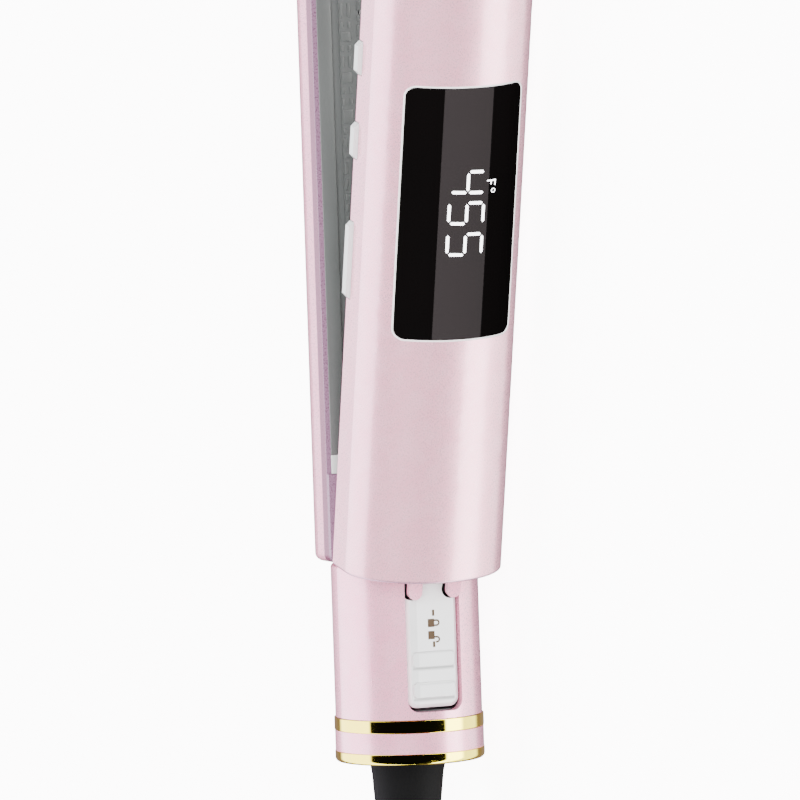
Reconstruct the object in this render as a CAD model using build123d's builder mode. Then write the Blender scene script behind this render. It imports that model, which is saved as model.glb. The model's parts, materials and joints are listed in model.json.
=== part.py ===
from build123d import *
from collections import namedtuple
from math import cos, pi, radians, sin, sqrt, tan
import os

# Flat iron lying on its side, arms open. Millimetres, +Z up, +X towards the tips of the arms.
# Every piece is drawn about the hinge pin: the fixed arm and the base in the hinge's own axes, and
# both arms in an arm frame with x along the arm, y outwards from the hair and z across.
# A place then puts each piece where it belongs, with the display arm turned to its open angle.

# Driving dimensions of the arms
OPEN_ANGLE = 12.1
ARM_LENGTH = 240.0
ARM_REAR = -9.0
HALF_WIDTH = 17.7
SKIN = 1.8
SHELL_FRONT = 228.0
COVER_REAR = 14.2
COVER_FRONT = 124.0
COVER_THICK = 2.0
COVER_MARGIN = 3.6
END_BLOCK_REAR = 10.2
FIT = 0.2

# Hinge
PIN_RADIUS = 2.0
RUNNING = 0.05
EAR_INNER = 12.9
EAR_OUTER = 15.2
EAR_RADIUS = 4.6
FRAME_HALF = 12.6
FRAME_GAP = 8.5
FRAME_SCREW_X = 6.6
FRAME_SCREW_Z = 10.6

# Base, below the hinge, on an axis beside the pin
BASE_Y = 3.0
BASE_RADIUS = 15.7
BASE_WALL = 2.0
BASE_FRONT = -9.6
NECK_FRONT = -6.0
NECK_RADIUS = 14.5
BASE_REAR = -42.4
RING_RADIUS = 16.0
SOCKET_RADIUS = 12.0
RING_ENDS = (-42.5, -45.2, -49.7, -52.1)
RELIEF_START = -44.8
RELIEF_END = -92.0

# Lock slider and its slot
SLOT_HALF = 6.3
SLOT_REAR = -40.8
SLIDER_HALF = 5.9
SLIDER_TOP = 10.9
SLIDER_FOOT = 8.0
LUG_CENTRE = (-15.0, 4.45)
LUG_RADIUS = 1.5

# Display window and the three side buttons: centre and length along the arm
WINDOW_CENTRE = 71.85
WINDOW_LENGTH = 54.95
WINDOW_WIDTH = 26.7
WINDOW_CORNER = 2.3
BUTTONS = {"plus_button": (102.1, 7.2), "minus_button": (84.2, 7.8), "power_button": (58.3, 16.6)}
BUTTON_PROUD = 1.0

# Heating plates
PLATE_REAR = 127.0
PLATE_FRONT = 225.0
PLATE_HALF = 13.0
PLATE_THICK = 3.0
PLATE_PROUD = 0.6
CARRIER_REAR = 124.3
CARRIER_FRONT = 227.8

SCREW_PLACES = [(36, 5.2), (36, -5.2), (108, 5.2), (108, -5.2)]
SCREW_RADIUS = 1.05
LEAD_Y = 7.4
LEAD_Z = 9.6

# Power cord
CORD_RADIUS = 3.25

# Where the hinge pin stands in the object's frame: the origin is below the middle of the iron,
# on the table that the side walls of both arms lie on.
Arm = namedtuple("Arm", "name low wall arch rim rear_round place")
FIXED_LOW, FIXED_WALL, FIXED_ARCH = 0.2, 7.6, 12.5
DISPLAY_LOW, DISPLAY_WALL, DISPLAY_ARCH = 1.3, 7.0, 12.4
FIXED_RIM, DISPLAY_RIM = 1.5, 0.3
TURN = radians(OPEN_ANGLE)
FAR_SIDE = FIXED_LOW + FIXED_WALL + FIXED_ARCH
TIP_ROUND = 7.0
NEAR_SIDE = (ARM_LENGTH - TIP_ROUND) * sin(TURN) + (DISPLAY_LOW + DISPLAY_WALL + DISPLAY_ARCH) * cos(TURN)
PIVOT = (-(ARM_LENGTH + RELIEF_END) / 2, (NEAR_SIDE - FAR_SIDE) / 2, HALF_WIDTH)
FIXED_PLACE = Location(PIVOT)
DISPLAY_PLACE = FIXED_PLACE * Location((0, 0, 0), (0, 0, -OPEN_ANGLE)) * Location((0, 0, 0), (180, 0, 0))
fixed = Arm("fixed", FIXED_LOW, FIXED_WALL, FIXED_ARCH, FIXED_RIM, 1.7, FIXED_PLACE)
display = Arm("display", DISPLAY_LOW, DISPLAY_WALL, DISPLAY_ARCH, DISPLAY_RIM, 0.5, DISPLAY_PLACE)

ALONG_X = (0, 90, 0)
ALONG_Y = (90, 0, 0)

os.makedirs("parts", exist_ok=True)


def save(piece, name, place=FIXED_PLACE):
    """Name a finished piece, put it in its place and write it."""
    piece.part.label = name
    piece.part.location = place
    export_step(piece.part, f"parts/{name}.step")


def block(x, y, z, mode=Mode.ADD):
    """A block between two values on each axis."""
    with Locations(((x[0] + x[1]) / 2, (y[0] + y[1]) / 2, (z[0] + z[1]) / 2)):
        Box(x[1] - x[0], y[1] - y[0], z[1] - z[0], mode=mode)


def rod(centre, radius, length, turn=(0, 0, 0), mode=Mode.ADD):
    """A round bar about a centre, along Z unless it is turned."""
    with Locations(Location(centre, turn)):
        Cylinder(radius, length, mode=mode)


def outward(y):
    """A plane facing out of an arm at height y, with local x along the arm."""
    return Plane(origin=(0, y, 0), x_dir=(1, 0, 0), z_dir=(0, 1, 0))


def arm_section(x, low, wall, arch, half_width, rim):
    """The arm's section: straight side walls under a half-elliptical back, its two lower edges bevelled."""
    edge = half_width - rim
    with BuildSketch(Plane.YZ.offset(x)) as section:
        with BuildLine():
            Polyline((low + wall, -half_width), (low + rim, -half_width), (low, -edge), (low, edge),
                     (low + rim, half_width), (low + wall, half_width))
            EllipticalCenterArc((low + wall, 0), arch, half_width, start_angle=-90, arc_size=180)
        make_face()
    return section.sketch


def arm_solid(x, arm, low=None, inset=0.0, mode=Mode.ADD):
    """A length of the arm's section, inset all round by a wall thickness."""
    bottom = arm.low if low is None else low
    rim = 0.1 if inset else arm.rim
    face = arm_section(x[0], bottom, arm.low + arm.wall - bottom, arm.arch - inset, HALF_WIDTH - inset, rim)
    extrude(face, amount=x[1] - x[0], mode=mode)


# ---------------------------------------------------------------- arms


def window_outline(shrink):
    """The display window's outline, seen from outside the arm."""
    with BuildSketch(outward(display.low + display.wall)) as outline:
        with Locations((WINDOW_CENTRE, 0)):
            RectangleRounded(WINDOW_LENGTH - 2 * shrink, WINDOW_WIDTH - 2 * shrink, WINDOW_CORNER)
    return outline.sketch


def make_shell(arm):
    """An arm's outer shell, with screw bosses and the ribs that its board rests on."""
    hinge_low = -0.75 if arm is fixed else arm.low
    boss_foot = arm.low + COVER_THICK + 0.1
    with BuildPart() as shell:
        arm_solid((ARM_REAR, END_BLOCK_REAR - FIT), arm, low=hinge_low)
        arm_solid((END_BLOCK_REAR - FIT, SHELL_FRONT), arm)
        rear_edges = shell.edges().group_by(Axis.X)[0].sort_by(Axis.Y)[1:]
        fillet(rear_edges, arm.rear_round)
        arm_solid((ARM_REAR - 1, SHELL_FRONT + 1), arm, low=hinge_low - 1, inset=SKIN, mode=Mode.SUBTRACT)
        for x, z in SCREW_PLACES:
            top = arm.low + arm.wall + 10.6
            rod((x, (boss_foot + top) / 2, z), 2.2, top - boss_foot, ALONG_Y)
            rod((x, boss_foot + 4, z), SCREW_RADIUS + RUNNING, 8, ALONG_Y, Mode.SUBTRACT)
        for rib in (41.0, 101.5):
            block((rib, rib + 1.5), (13.4, 18.2), (-6, 6))
        if arm is fixed:
            with BuildSketch(Plane.XY.offset(-HALF_WIDTH - 1)):
                with BuildLine():
                    Polyline((-1.0, -0.76), (ARM_REAR - 1, 1.13), (ARM_REAR - 1, -2), (-1.0, -2), close=True)
                make_face()
            extrude(amount=2 * HALF_WIDTH + 2, mode=Mode.SUBTRACT)
            for z in (-FRAME_SCREW_Z, FRAME_SCREW_Z):
                rod((FRAME_SCREW_X, 12.4, z), 2.1, 8.0, ALONG_Y)
                rod((FRAME_SCREW_X, 10.5, z), SCREW_RADIUS + RUNNING, 5.0, ALONG_Y, Mode.SUBTRACT)
        else:
            extrude(window_outline(0), amount=20, mode=Mode.SUBTRACT)
            for centre, length in BUTTONS.values():
                reach = length / 2 + FIT
                block((centre - reach, centre + reach), (arm.low - 1, arm.low + 2.25),
                      (-HALF_WIDTH - 1, -HALF_WIDTH + SKIN + 1), Mode.SUBTRACT)
            for z in (-8, 8):
                rod((5, 14.7, z), 2.2, 6.2, ALONG_Y)
                rod((5, 14.0, z), SCREW_RADIUS + RUNNING, 5.5, ALONG_Y, Mode.SUBTRACT)
    save(shell, f"{arm.name}_arm_shell", arm.place)


def make_inner_cover(arm):
    """The grey cover that closes an arm on the hair side, its margins stepped below its panel."""
    half = HALF_WIDTH - SKIN - FIT
    with BuildPart() as cover:
        block((COVER_REAR, COVER_FRONT), (arm.low, arm.low + COVER_THICK), (-half, half))
        for side in (-1, 1):
            edge = sorted((side * (half - COVER_MARGIN), side * (half + 1)))
            block((COVER_REAR - 1, COVER_FRONT + 1), (arm.low - 1, arm.low + 0.45), edge, Mode.SUBTRACT)
        for x, z in SCREW_PLACES:
            rod((x, arm.low, z), SCREW_RADIUS + 0.3, 3 * COVER_THICK, ALONG_Y, Mode.SUBTRACT)
            rod((x, arm.low, z), 2.4, 2.0, ALONG_Y, Mode.SUBTRACT)
        if arm is fixed:
            block((18, 29), (arm.low - 1, arm.low + 3), (-4.5, 4.5), Mode.SUBTRACT)
        else:
            block((18, 25), (arm.low - 1, arm.low + 3), (-4.5, 4.5), Mode.SUBTRACT)
            block((24, 30), (arm.low + 1.0, arm.low + 3), (-4.5, 4.5), Mode.SUBTRACT)
            for centre, length in BUTTONS.values():
                reach = length / 2 + 1.2
                block((centre - reach, centre + reach), (arm.low - 1, arm.low + 3), (-half - 1, -14.5), Mode.SUBTRACT)
    save(cover, f"{arm.name}_arm_inner_cover", arm.place)


def make_end_block(arm):
    """The light block that closes an arm between its inner cover and the hinge."""
    half = HALF_WIDTH - SKIN - FIT
    with BuildPart() as end_block:
        block((END_BLOCK_REAR, COVER_REAR - 0.1), (arm.low, arm.low + 6.4), (-half, half))
        block((END_BLOCK_REAR - 1, COVER_REAR + 1), (arm.low - 1, arm.low + 4.6), (-4.5, 4.5), Mode.SUBTRACT)
    save(end_block, f"{arm.name}_arm_end_block", arm.place)


def make_tip_cap(arm):
    """The rounded cool tip that closes the front of an arm."""
    with BuildPart() as cap:
        arm_solid((SHELL_FRONT + FIT, ARM_LENGTH), arm)
        front_edges = cap.edges().group_by(Axis.X)[-1].sort_by(Axis.Y)[1:]
        fillet(front_edges, TIP_ROUND)
        arm_solid((SHELL_FRONT - 4, SHELL_FRONT + FIT), arm, inset=SKIN + FIT)
        block((SHELL_FRONT - 5, SHELL_FRONT), (arm.low - 1, arm.low + 9.8), (-HALF_WIDTH, HALF_WIDTH), Mode.SUBTRACT)
    save(cap, f"{arm.name}_arm_tip_cap", arm.place)


def make_cover_screws(arm):
    """Four screws that hold the inner cover to the shell."""
    with BuildPart() as screws:
        for x, z in SCREW_PLACES:
            rod((x, arm.low + 0.6, z), 2.1, 0.8, ALONG_Y)
            rod((x, arm.low + 4.9, z), SCREW_RADIUS, 8, ALONG_Y)
            block((x - 1.3, x + 1.3), (arm.low, arm.low + 0.55), (z - 0.25, z + 0.25), Mode.SUBTRACT)
            block((x - 0.25, x + 0.25), (arm.low, arm.low + 0.55), (z - 1.3, z + 1.3), Mode.SUBTRACT)
    save(screws, f"{arm.name}_arm_screws", arm.place)


def make_leads(arm):
    """The pair of heater leads that runs along an arm from the hinge to its plate."""
    with BuildPart() as leads:
        for z in (-LEAD_Z, LEAD_Z):
            rod(((13 + CARRIER_REAR) / 2, arm.low + LEAD_Y, z), 0.9, CARRIER_REAR - 13.4, ALONG_X)
    save(leads, f"{arm.name}_arm_leads", arm.place)


# ---------------------------------------------------------------- heating plates


def make_plate_carrier(arm):
    """The heat-resistant tray that the plate floats in."""
    half = HALF_WIDTH - SKIN - FIT
    with BuildPart() as carrier:
        block((CARRIER_REAR, CARRIER_FRONT), (arm.low + 0.2, arm.low + 9.5), (-half, half))
        long_edges = carrier.edges().filter_by(Axis.X).group_by(Axis.Y)[-1]
        chamfer(long_edges, 2.0)
        block((PLATE_REAR - 0.4, PLATE_FRONT + 0.4), (arm.low - 1, arm.low + 7.7),
              (-PLATE_HALF - 0.4, PLATE_HALF + 0.4), Mode.SUBTRACT)
        for z in (-LEAD_Z, LEAD_Z):
            rod((CARRIER_REAR, arm.low + LEAD_Y, z), 1.1, 6, ALONG_X, Mode.SUBTRACT)
    save(carrier, f"{arm.name}_plate_carrier", arm.place)


def make_plate(arm):
    """The floating heating plate, with its rim turned up behind the polished face."""
    face = arm.low - PLATE_PROUD
    with BuildPart() as plate:
        block((PLATE_REAR, PLATE_FRONT), (face, face + PLATE_THICK), (-PLATE_HALF, PLATE_HALF))
        fillet(plate.edges().filter_by(Axis.X).group_by(Axis.Y)[0], 1.4)
        for side in (-1, 1):
            rail = sorted((side * 8.0, side * 9.5))
            block((PLATE_REAR + 4, PLATE_FRONT - 4), (face + PLATE_THICK, face + PLATE_THICK + 2.4), rail)
    save(plate, f"{arm.name}_plate", arm.place)


def make_heater(arm):
    """The ceramic heater strip behind the plate."""
    back = arm.low - PLATE_PROUD + PLATE_THICK
    with BuildPart() as heater:
        block((142, 210), (back, back + 1.4), (-6.5, 6.5))
    save(heater, f"{arm.name}_heater", arm.place)


def make_heater_clip(arm):
    """The sprung steel clip that presses the heater onto the plate."""
    back = arm.low - PLATE_PROUD + PLATE_THICK + 1.4
    with BuildPart() as clip:
        block((150, 202), (back, back + 0.8), (-7.9, 7.9))
        for x in (160, 176, 192):
            block((x - 4, x + 4), (back - 1, back + 2), (-5, 5), Mode.SUBTRACT)
    save(clip, f"{arm.name}_heater_clip", arm.place)


def make_plate_pads(arm):
    """Four silicone pads that let the plate give a little."""
    back = arm.low - PLATE_PROUD + PLATE_THICK
    floor = arm.low + 7.7
    with BuildPart() as pads:
        for x in (134, 218):
            for z in (-11.3, 11.3):
                block((x - 3, x + 3), (back, floor), (z - 1.4, z + 1.4))
    save(pads, f"{arm.name}_plate_pads", arm.place)


# ---------------------------------------------------------------- display, boards and buttons


def make_window():
    """The curved black window over the display, flush with the shell."""
    ends = (WINDOW_CENTRE - WINDOW_LENGTH / 2 - 1, WINDOW_CENTRE + WINDOW_LENGTH / 2 + 1)
    with BuildPart() as window:
        arm_solid(ends, display)
        arm_solid((ends[0] - 1, ends[1] + 1), display, low=display.low - 1, inset=SKIN, mode=Mode.SUBTRACT)
        extrude(window_outline(0.12), amount=20, mode=Mode.INTERSECT)
    save(window, "display_window", display.place)


def make_display_module():
    """The digit display, standing on the control board behind the window."""
    with BuildPart() as module:
        block((62, 98), (13.5, 16.6), (-7.5, 7.5))
    save(module, "display_module", display.place)


def make_board(arm, name, parts):
    """A circuit board across the arm, with what is soldered to its lower side."""
    with BuildPart() as board:
        block((41.2, 102.8), (11.8, 13.4), (-8.8, 8.8))
        for x, width, height, depth in parts:
            block((x - width / 2, x + width / 2), (11.8 - height, 11.9), (-depth, depth))
    save(board, name, arm.place)


def make_button_board():
    """The narrow board with one switch behind each side button."""
    with BuildPart() as board:
        block((48, 105.4), (3.6, 9.4), (-13.8, -12.6))
        for centre, _ in BUTTONS.values():
            block((centre - 2, centre + 2), (4.0, 6.6), (-14.3, -13.7))
    save(board, "button_board", display.place)


def make_button(name, centre, length):
    """A side button: a bar through the shell's edge, held by a flange inside."""
    low = display.low
    with BuildPart() as button:
        block((centre - length / 2, centre + length / 2), (low + 0.15, low + 2.05),
              (-HALF_WIDTH - BUTTON_PROUD, -HALF_WIDTH + SKIN))
        ends = button.edges().filter_by(Axis.Y).group_by(Axis.Z)[0]
        chamfer(ends, 0.9)
        block((centre - length / 2 - 0.9, centre + length / 2 + 0.9), (low + 0.15, low + 5.2), (-15.7, -14.9))
        block((centre - length / 2, centre + length / 2), (low + 0.15, low + 2.05), (-15.95, -15.5))
    save(button, name, display.place)


# ---------------------------------------------------------------- hinge


def make_hinge_frame():
    """The frame that carries the hinge pin, held in the base and the fixed arm."""
    with BuildPart() as frame:
        block((-5.4, 9.5), (-4.4, 8.2), (-FRAME_HALF, FRAME_HALF))
        block((-22, -5.2), (-4.4, 8.2), (-9.6, 9.6))
        block((-5.0, 10), (-5, 6.6), (-FRAME_GAP, FRAME_GAP), Mode.SUBTRACT)
        block((-23, -4), (1.5, 6.0), (-4, 4), Mode.SUBTRACT)
        rod((0, 0, 0), PIN_RADIUS, 2 * FRAME_HALF + 2, mode=Mode.SUBTRACT)
        for z in (-FRAME_SCREW_Z, FRAME_SCREW_Z):
            rod((FRAME_SCREW_X, 0, z), 1.85, 9.4, ALONG_Y, Mode.SUBTRACT)
            rod((FRAME_SCREW_X, 5, z), SCREW_RADIUS + RUNNING, 10, ALONG_Y, Mode.SUBTRACT)
    save(frame, "hinge_frame")


def make_frame_screws():
    """Two screws that hold the fixed arm's shell to the frame."""
    with BuildPart() as screws:
        for z in (-FRAME_SCREW_Z, FRAME_SCREW_Z):
            rod((FRAME_SCREW_X, 4.1, z), 1.8, 1.2, ALONG_Y)
            rod((FRAME_SCREW_X, 8.6, z), SCREW_RADIUS, 8, ALONG_Y)
    save(screws, "frame_screws")


def make_hinge_pin():
    """The steel pin that both arms turn on."""
    with BuildPart() as pin:
        rod((0, 0, 0), PIN_RADIUS, 2 * EAR_OUTER + 0.4)
        chamfer(pin.edges().filter_by(GeomType.CIRCLE), 0.3)
    save(pin, "hinge_pin")


def make_hinge_washers():
    """A thin washer each side of the frame."""
    with BuildPart() as washers:
        for side in (-1, 1):
            middle = side * (FRAME_HALF + 0.12)
            rod((0, 0, middle), 4.0, 0.24)
            rod((0, 0, middle), PIN_RADIUS, 1.0, mode=Mode.SUBTRACT)
    save(washers, "hinge_washers")


def make_hinge_bracket():
    """The display arm's bracket: two ears on the pin and a bridge across the arm."""
    thick = EAR_OUTER - EAR_INNER
    with BuildPart() as bracket:
        for z in (-EAR_OUTER, EAR_INNER):
            rod((0, 0, z + thick / 2), EAR_RADIUS, thick)
            block((-3, 8), (0, 10.9), (z, z + thick))
        block((0, 8), (10, 11.5), (-14.4, 14.4))
        rod((0, 0, 0), PIN_RADIUS + RUNNING, 2 * EAR_OUTER + 2, mode=Mode.SUBTRACT)
        for z in (-8, 8):
            rod((5, 10.7, z), SCREW_RADIUS + 0.2, 4, ALONG_Y, Mode.SUBTRACT)
    save(bracket, "hinge_bracket", display.place)


def make_bracket_screws():
    """Two screws that hold the bracket to the display arm's shell."""
    with BuildPart() as screws:
        for z in (-8, 8):
            rod((5, 9.4, z), 2.1, 1.2, ALONG_Y)
            rod((5, 12.9, z), SCREW_RADIUS, 6, ALONG_Y)
    save(screws, "bracket_screws", display.place)


def strip(points, thickness, z):
    """A bent strip of sheet metal through the points of its middle line."""
    with BuildSketch(Plane.XY.offset(z[0])) as outline:
        with BuildLine():
            FilletPolyline(*points, radius=1.2)
        trace(line_width=thickness)
    extrude(outline.sketch, amount=z[1] - z[0])


def make_opening_spring():
    """The hairpin spring round the pin that pushes the arms apart."""
    with BuildPart() as spring:
        strip([(8.6, 5.9), (-1.0, 3.6), (-3.4, 0.0), (-1.2, -3.6), (4.9, -9.9)], 0.8, (3.2, 5.7))
    save(spring, "opening_spring")


# ---------------------------------------------------------------- base and lock


def base_half(side):
    """Half of the round base, in front of or behind its seam, with its screw bosses."""
    boss = 9.6
    with BuildPart() as half:
        rod(((BASE_REAR + BASE_FRONT) / 2, BASE_Y, 0), BASE_RADIUS, BASE_FRONT - BASE_REAR, ALONG_X)
        fillet(half.edges().group_by(Axis.X)[-1], 0.9)
        rod((NECK_FRONT - 5, BASE_Y, 0), NECK_RADIUS, 10, ALONG_X)
        rod(((BASE_REAR + BASE_FRONT) / 2, BASE_Y, 0), BASE_RADIUS - BASE_WALL, BASE_FRONT - BASE_REAR + 1,
            ALONG_X, Mode.SUBTRACT)
        rod((NECK_FRONT, BASE_Y, 0), NECK_RADIUS - 1.8, 12, ALONG_X, Mode.SUBTRACT)
        for z in (-10.2, 10.2):
            rod((-34, BASE_Y + side * boss / 2, z), 2.3, boss, ALONG_Y)
            hole = SCREW_RADIUS + (RUNNING if side < 0 else 0.3)
            rod((-34, BASE_Y + side * 4, z), hole, 16 if side > 0 else 8, ALONG_Y, Mode.SUBTRACT)
            if side > 0:
                rod((-34, BASE_Y + 12, z), 2.3, 9, ALONG_Y, Mode.SUBTRACT)
            block((-20, -17), sorted((BASE_Y, BASE_Y + side * 5)), sorted((9.65 * z / 10.2, 13.9 * z / 10.2)))
        far = BASE_Y - side * 20
        block((-60, 0), sorted((BASE_Y + side * 0.06, far)), (-20, 20), Mode.SUBTRACT)
        if side < 0:
            with BuildSketch(Plane.XZ.offset(6)):
                with Locations(((SLOT_REAR + 10) / 2, 0)):
                    RectangleRounded(10 - SLOT_REAR, 2 * SLOT_HALF, 2.4)
            extrude(amount=12, mode=Mode.SUBTRACT)
    save(half, "base_front_half" if side < 0 else "base_back_half")


def make_base_screws():
    """Two screws that hold the base's halves together, sunk in the back half."""
    with BuildPart() as screws:
        for z in (-10.2, 10.2):
            rod((-34, BASE_Y + 8.2, z), 2.1, 1.4, ALONG_Y)
            rod((-34, BASE_Y + 2.5, z), SCREW_RADIUS, 10, ALONG_Y)
    save(screws, "base_screws")


def make_slider():
    """The lock slider: a grip with two ribs, a neck, and a foot that keeps it in its slot."""
    with BuildPart() as slider:
        with BuildSketch(Plane.XZ.offset(SLIDER_FOOT)) as outline:
            with Locations((-27.6, 0)):
                Rectangle(24.8, 2 * SLIDER_HALF)
            fillet(outline.vertices().group_by(Axis.X)[0], 2.1)
            with Locations((-14, 0)):
                Rectangle(6, 5.4)
            with Locations((LUG_CENTRE[0], LUG_CENTRE[1]), (LUG_CENTRE[0], -LUG_CENTRE[1])):
                Circle(LUG_RADIUS + 0.45, mode=Mode.SUBTRACT)
        extrude(amount=SLIDER_TOP - SLIDER_FOOT)
        rim = slider.faces().sort_by(Axis.Y)[0].edges().filter_by(Axis.X)
        chamfer(rim.group_by(SortBy.LENGTH)[-1], 0.8)
        with BuildSketch(Plane.XZ.offset(SLIDER_TOP)):
            with Locations((-29.7, 0), (-36.2, 0)):
                RectangleRounded(3.4, 9.8, 1.1)
        extrude(amount=0.6)
        fillet(slider.faces().sort_by(Axis.Y)[:2].edges(), 0.35)
        block((-38, -20), (-SLIDER_FOOT, -6.8), (-7.4, 7.4))
    save(slider, "lock_slider")


def make_lock_hook():
    """The steel strip on the slider that hooks over a bar in the display arm when it is pushed on."""
    with BuildPart() as hook:
        strip([(-34, -6.25), (-4, -6.25), (11, 3.2), (20.4, 3.2), (20.4, -3.2), (24.5, -3.2)], 1.1, (-2.6, 2.6))
    save(hook, "lock_hook")


def make_lock_lugs():
    """The plate inside the display arm whose two rounded lugs reach into the slider's slot."""
    with BuildPart() as lugs:
        block((-8, -1), (14.6, 16.0), (-10, 10))
        for side in (-1, 1):
            block((-12.2, -7.5), (14.6, 16.0), sorted((side * 2.95, side * 5.95)))
            rod((-12.2, 15.3, side * LUG_CENTRE[1]), LUG_RADIUS, 1.4, ALONG_Y)
            block((-6, -3), (15.5, 17.6), sorted((side * 4.5, side * 6.5)))
    save(lugs, "lock_lugs", display.place)


# ---------------------------------------------------------------- swivel


def make_ring(name, start, end, radius, rounding):
    """One of the rings stacked on the swivel's socket."""
    with BuildPart() as ring:
        rod(((start + end) / 2, BASE_Y, 0), radius, start - end, ALONG_X)
        fillet(ring.edges().group_by(Axis.X)[0], rounding)
        fillet(ring.edges().group_by(Axis.X)[-1], 0.15)
        rod(((start + end) / 2, BASE_Y, 0), SOCKET_RADIUS, start - end + 1, ALONG_X, Mode.SUBTRACT)
    save(ring, name)


def make_swivel_socket():
    """The socket in the end of the base, which the swivel hub turns in."""
    with BuildPart() as socket:
        rod((-46.75, BASE_Y, 0), SOCKET_RADIUS, 10.5, ALONG_X)
        rod((-41.5, BASE_Y, 0), 13.5, 1.8, ALONG_X)
        rod((-46, BASE_Y, 0), 8.4, 20, ALONG_X, Mode.SUBTRACT)
        rod((-40, BASE_Y, 0), 10.2, 10, ALONG_X, Mode.SUBTRACT)
    save(socket, "swivel_socket")


def make_swivel_retainer():
    """The ring that keeps the swivel hub in its socket."""
    with BuildPart() as retainer:
        rod((-41.2, BASE_Y, 0), 10.2, 1.0, ALONG_X)
        rod((-41.2, BASE_Y, 0), 6.0, 2.0, ALONG_X, Mode.SUBTRACT)
    save(retainer, "swivel_retainer")


def make_swivel_hub():
    """The hub on the inner end of the strain relief."""
    with BuildPart() as hub:
        rod((-43.35, BASE_Y, 0), 10.12, 2.9, ALONG_X)
        rod((-43.35, BASE_Y, 0), CORD_RADIUS + 0.1, 6, ALONG_X, Mode.SUBTRACT)
    save(hub, "swivel_hub")


def make_strain_relief():
    """The tapered boot that the cord comes out of."""
    with BuildPart() as relief:
        with BuildSketch(Plane.XY):
            with BuildLine():
                Polyline((RELIEF_END, BASE_Y), (RELIEF_START, BASE_Y), (RELIEF_START, BASE_Y + 8.35),
                         (-52.0, BASE_Y + 8.35), (-52.0, BASE_Y + 7.95))
                Spline((-52.0, BASE_Y + 7.95), (-60, BASE_Y + 7.2), (-74, BASE_Y + 5.5), (-91, BASE_Y + 4.3))
                Polyline((-91, BASE_Y + 4.3), (RELIEF_END, BASE_Y + 4.0), (RELIEF_END, BASE_Y))
            make_face()
        revolve(axis=Axis((0, BASE_Y, 0), (1, 0, 0)))
    save(relief, "strain_relief")


# ---------------------------------------------------------------- cord, coil and plug

FLOOR = -HALF_WIDTH
TIE_THICK = 0.8
TIE_SLACK = 0.05
TIE_HALF = 6.0
CORD_WIDTH = 2 * CORD_RADIUS
COIL_CENTRE = (-168.0, -30.0)
COIL_RADIUS = 38.0
COIL_COLUMNS = 4
COIL_LAYERS = 2
COIL_OUTER = COIL_RADIUS + COIL_COLUMNS * CORD_RADIUS
COIL_INNER = COIL_RADIUS - COIL_COLUMNS * CORD_RADIUS
COIL_FOOT = FLOOR + TIE_THICK
COIL_HEIGHT = COIL_LAYERS * CORD_WIDTH
TURN_OUTER = COIL_OUTER - CORD_RADIUS
LAST_ANGLE = 285.0
PLUG_LENGTH = 30.0
PLUG_WIDTH = 25.0
PLUG_THICK = 15.0
PLUG_RELIEF = 18.0
PLUG_START = 48.0

# From the strain relief down to the first turn of the coil, and from its last turn to the plug
CORD_ROUTE = [(-92.0, 3.0, 0.0), (-102.0, 3.0, 0.0), (-112.0, 4.0, -2.5), (-122.5, 6.5, -7.2),
              (-133.0, 9.8, -11.6), (-144.0, 13.3, -13.65), (-156.0, 16.3, -13.65), (-168.0, 17.75, -13.65)]
END_ROUTE = [(0.0, 0.0, -7.15), (8.0, 0.0, -7.15), (16.0, 0.2, -8.9), (23.0, 0.0, -10.2), (30.0, 0.0, -10.2)]


def last_turn_place():
    """Where the cord leaves its last turn, with x along the cord."""
    angle = radians(LAST_ANGLE)
    x = COIL_CENTRE[0] + TURN_OUTER * cos(angle)
    y = COIL_CENTRE[1] + TURN_OUTER * sin(angle)
    return FIXED_PLACE * Location((x, y, 0), (0, 0, LAST_ANGLE - 270))


def make_tube(points, name, place=FIXED_PLACE):
    """A plain tube along straight runs joined by the largest arcs that they allow."""
    radii = []
    for before, corner, after in zip(points, points[1:], points[2:]):
        run_in = Vector(*corner) - Vector(*before)
        run_out = Vector(*after) - Vector(*corner)
        turn = radians(run_in.get_angle(run_out))
        radii.append(0.45 * min(run_in.length, run_out.length) / tan(turn / 2))
    with BuildPart() as tube:
        with BuildLine() as path:
            FilletPolyline(*points, radius=radii)
        with BuildSketch(Plane(path.line @ 0, z_dir=path.line % 0)):
            Circle(CORD_RADIUS)
        sweep()
    length = sum(edge.length for edge in path.edges())
    ratio = tube.part.volume / (pi * CORD_RADIUS**2 * length)
    print(name, "arc radii", [round(radius, 1) for radius in radii])
    print(name, "length", round(length, 1), "volume over section times length", round(ratio, 4))
    save(tube, name, place)


def make_coil():
    """The outer shape of the coiled cord."""
    with BuildPart() as coil:
        with Locations((COIL_CENTRE[0], COIL_CENTRE[1], COIL_FOOT + COIL_HEIGHT / 2)):
            Cylinder(COIL_OUTER, COIL_HEIGHT)
            Cylinder(COIL_INNER, COIL_HEIGHT + 2, mode=Mode.SUBTRACT)
        fillet(coil.edges().filter_by(GeomType.CIRCLE), 2.0)
    save(coil, "cord_coil")


def make_tie():
    """The strap round the coil's turns, on the side of the iron."""
    inner = COIL_CENTRE[0] + sqrt(COIL_INNER**2 - TIE_HALF**2) - TIE_SLACK
    outer = COIL_CENTRE[0] + COIL_OUTER + TIE_SLACK
    across = (COIL_CENTRE[1] - TIE_HALF, COIL_CENTRE[1] + TIE_HALF)
    top = COIL_FOOT + COIL_HEIGHT
    with BuildPart() as tie:
        block((inner - TIE_THICK, outer + TIE_THICK), across, (FLOOR, top + TIE_THICK))
        fillet(tie.edges().filter_by(Axis.Y), 1.6)
        block((inner, outer), (across[0] - 1, across[1] + 1), (COIL_FOOT, top), Mode.SUBTRACT)
    save(tie, "cord_tie")


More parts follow.
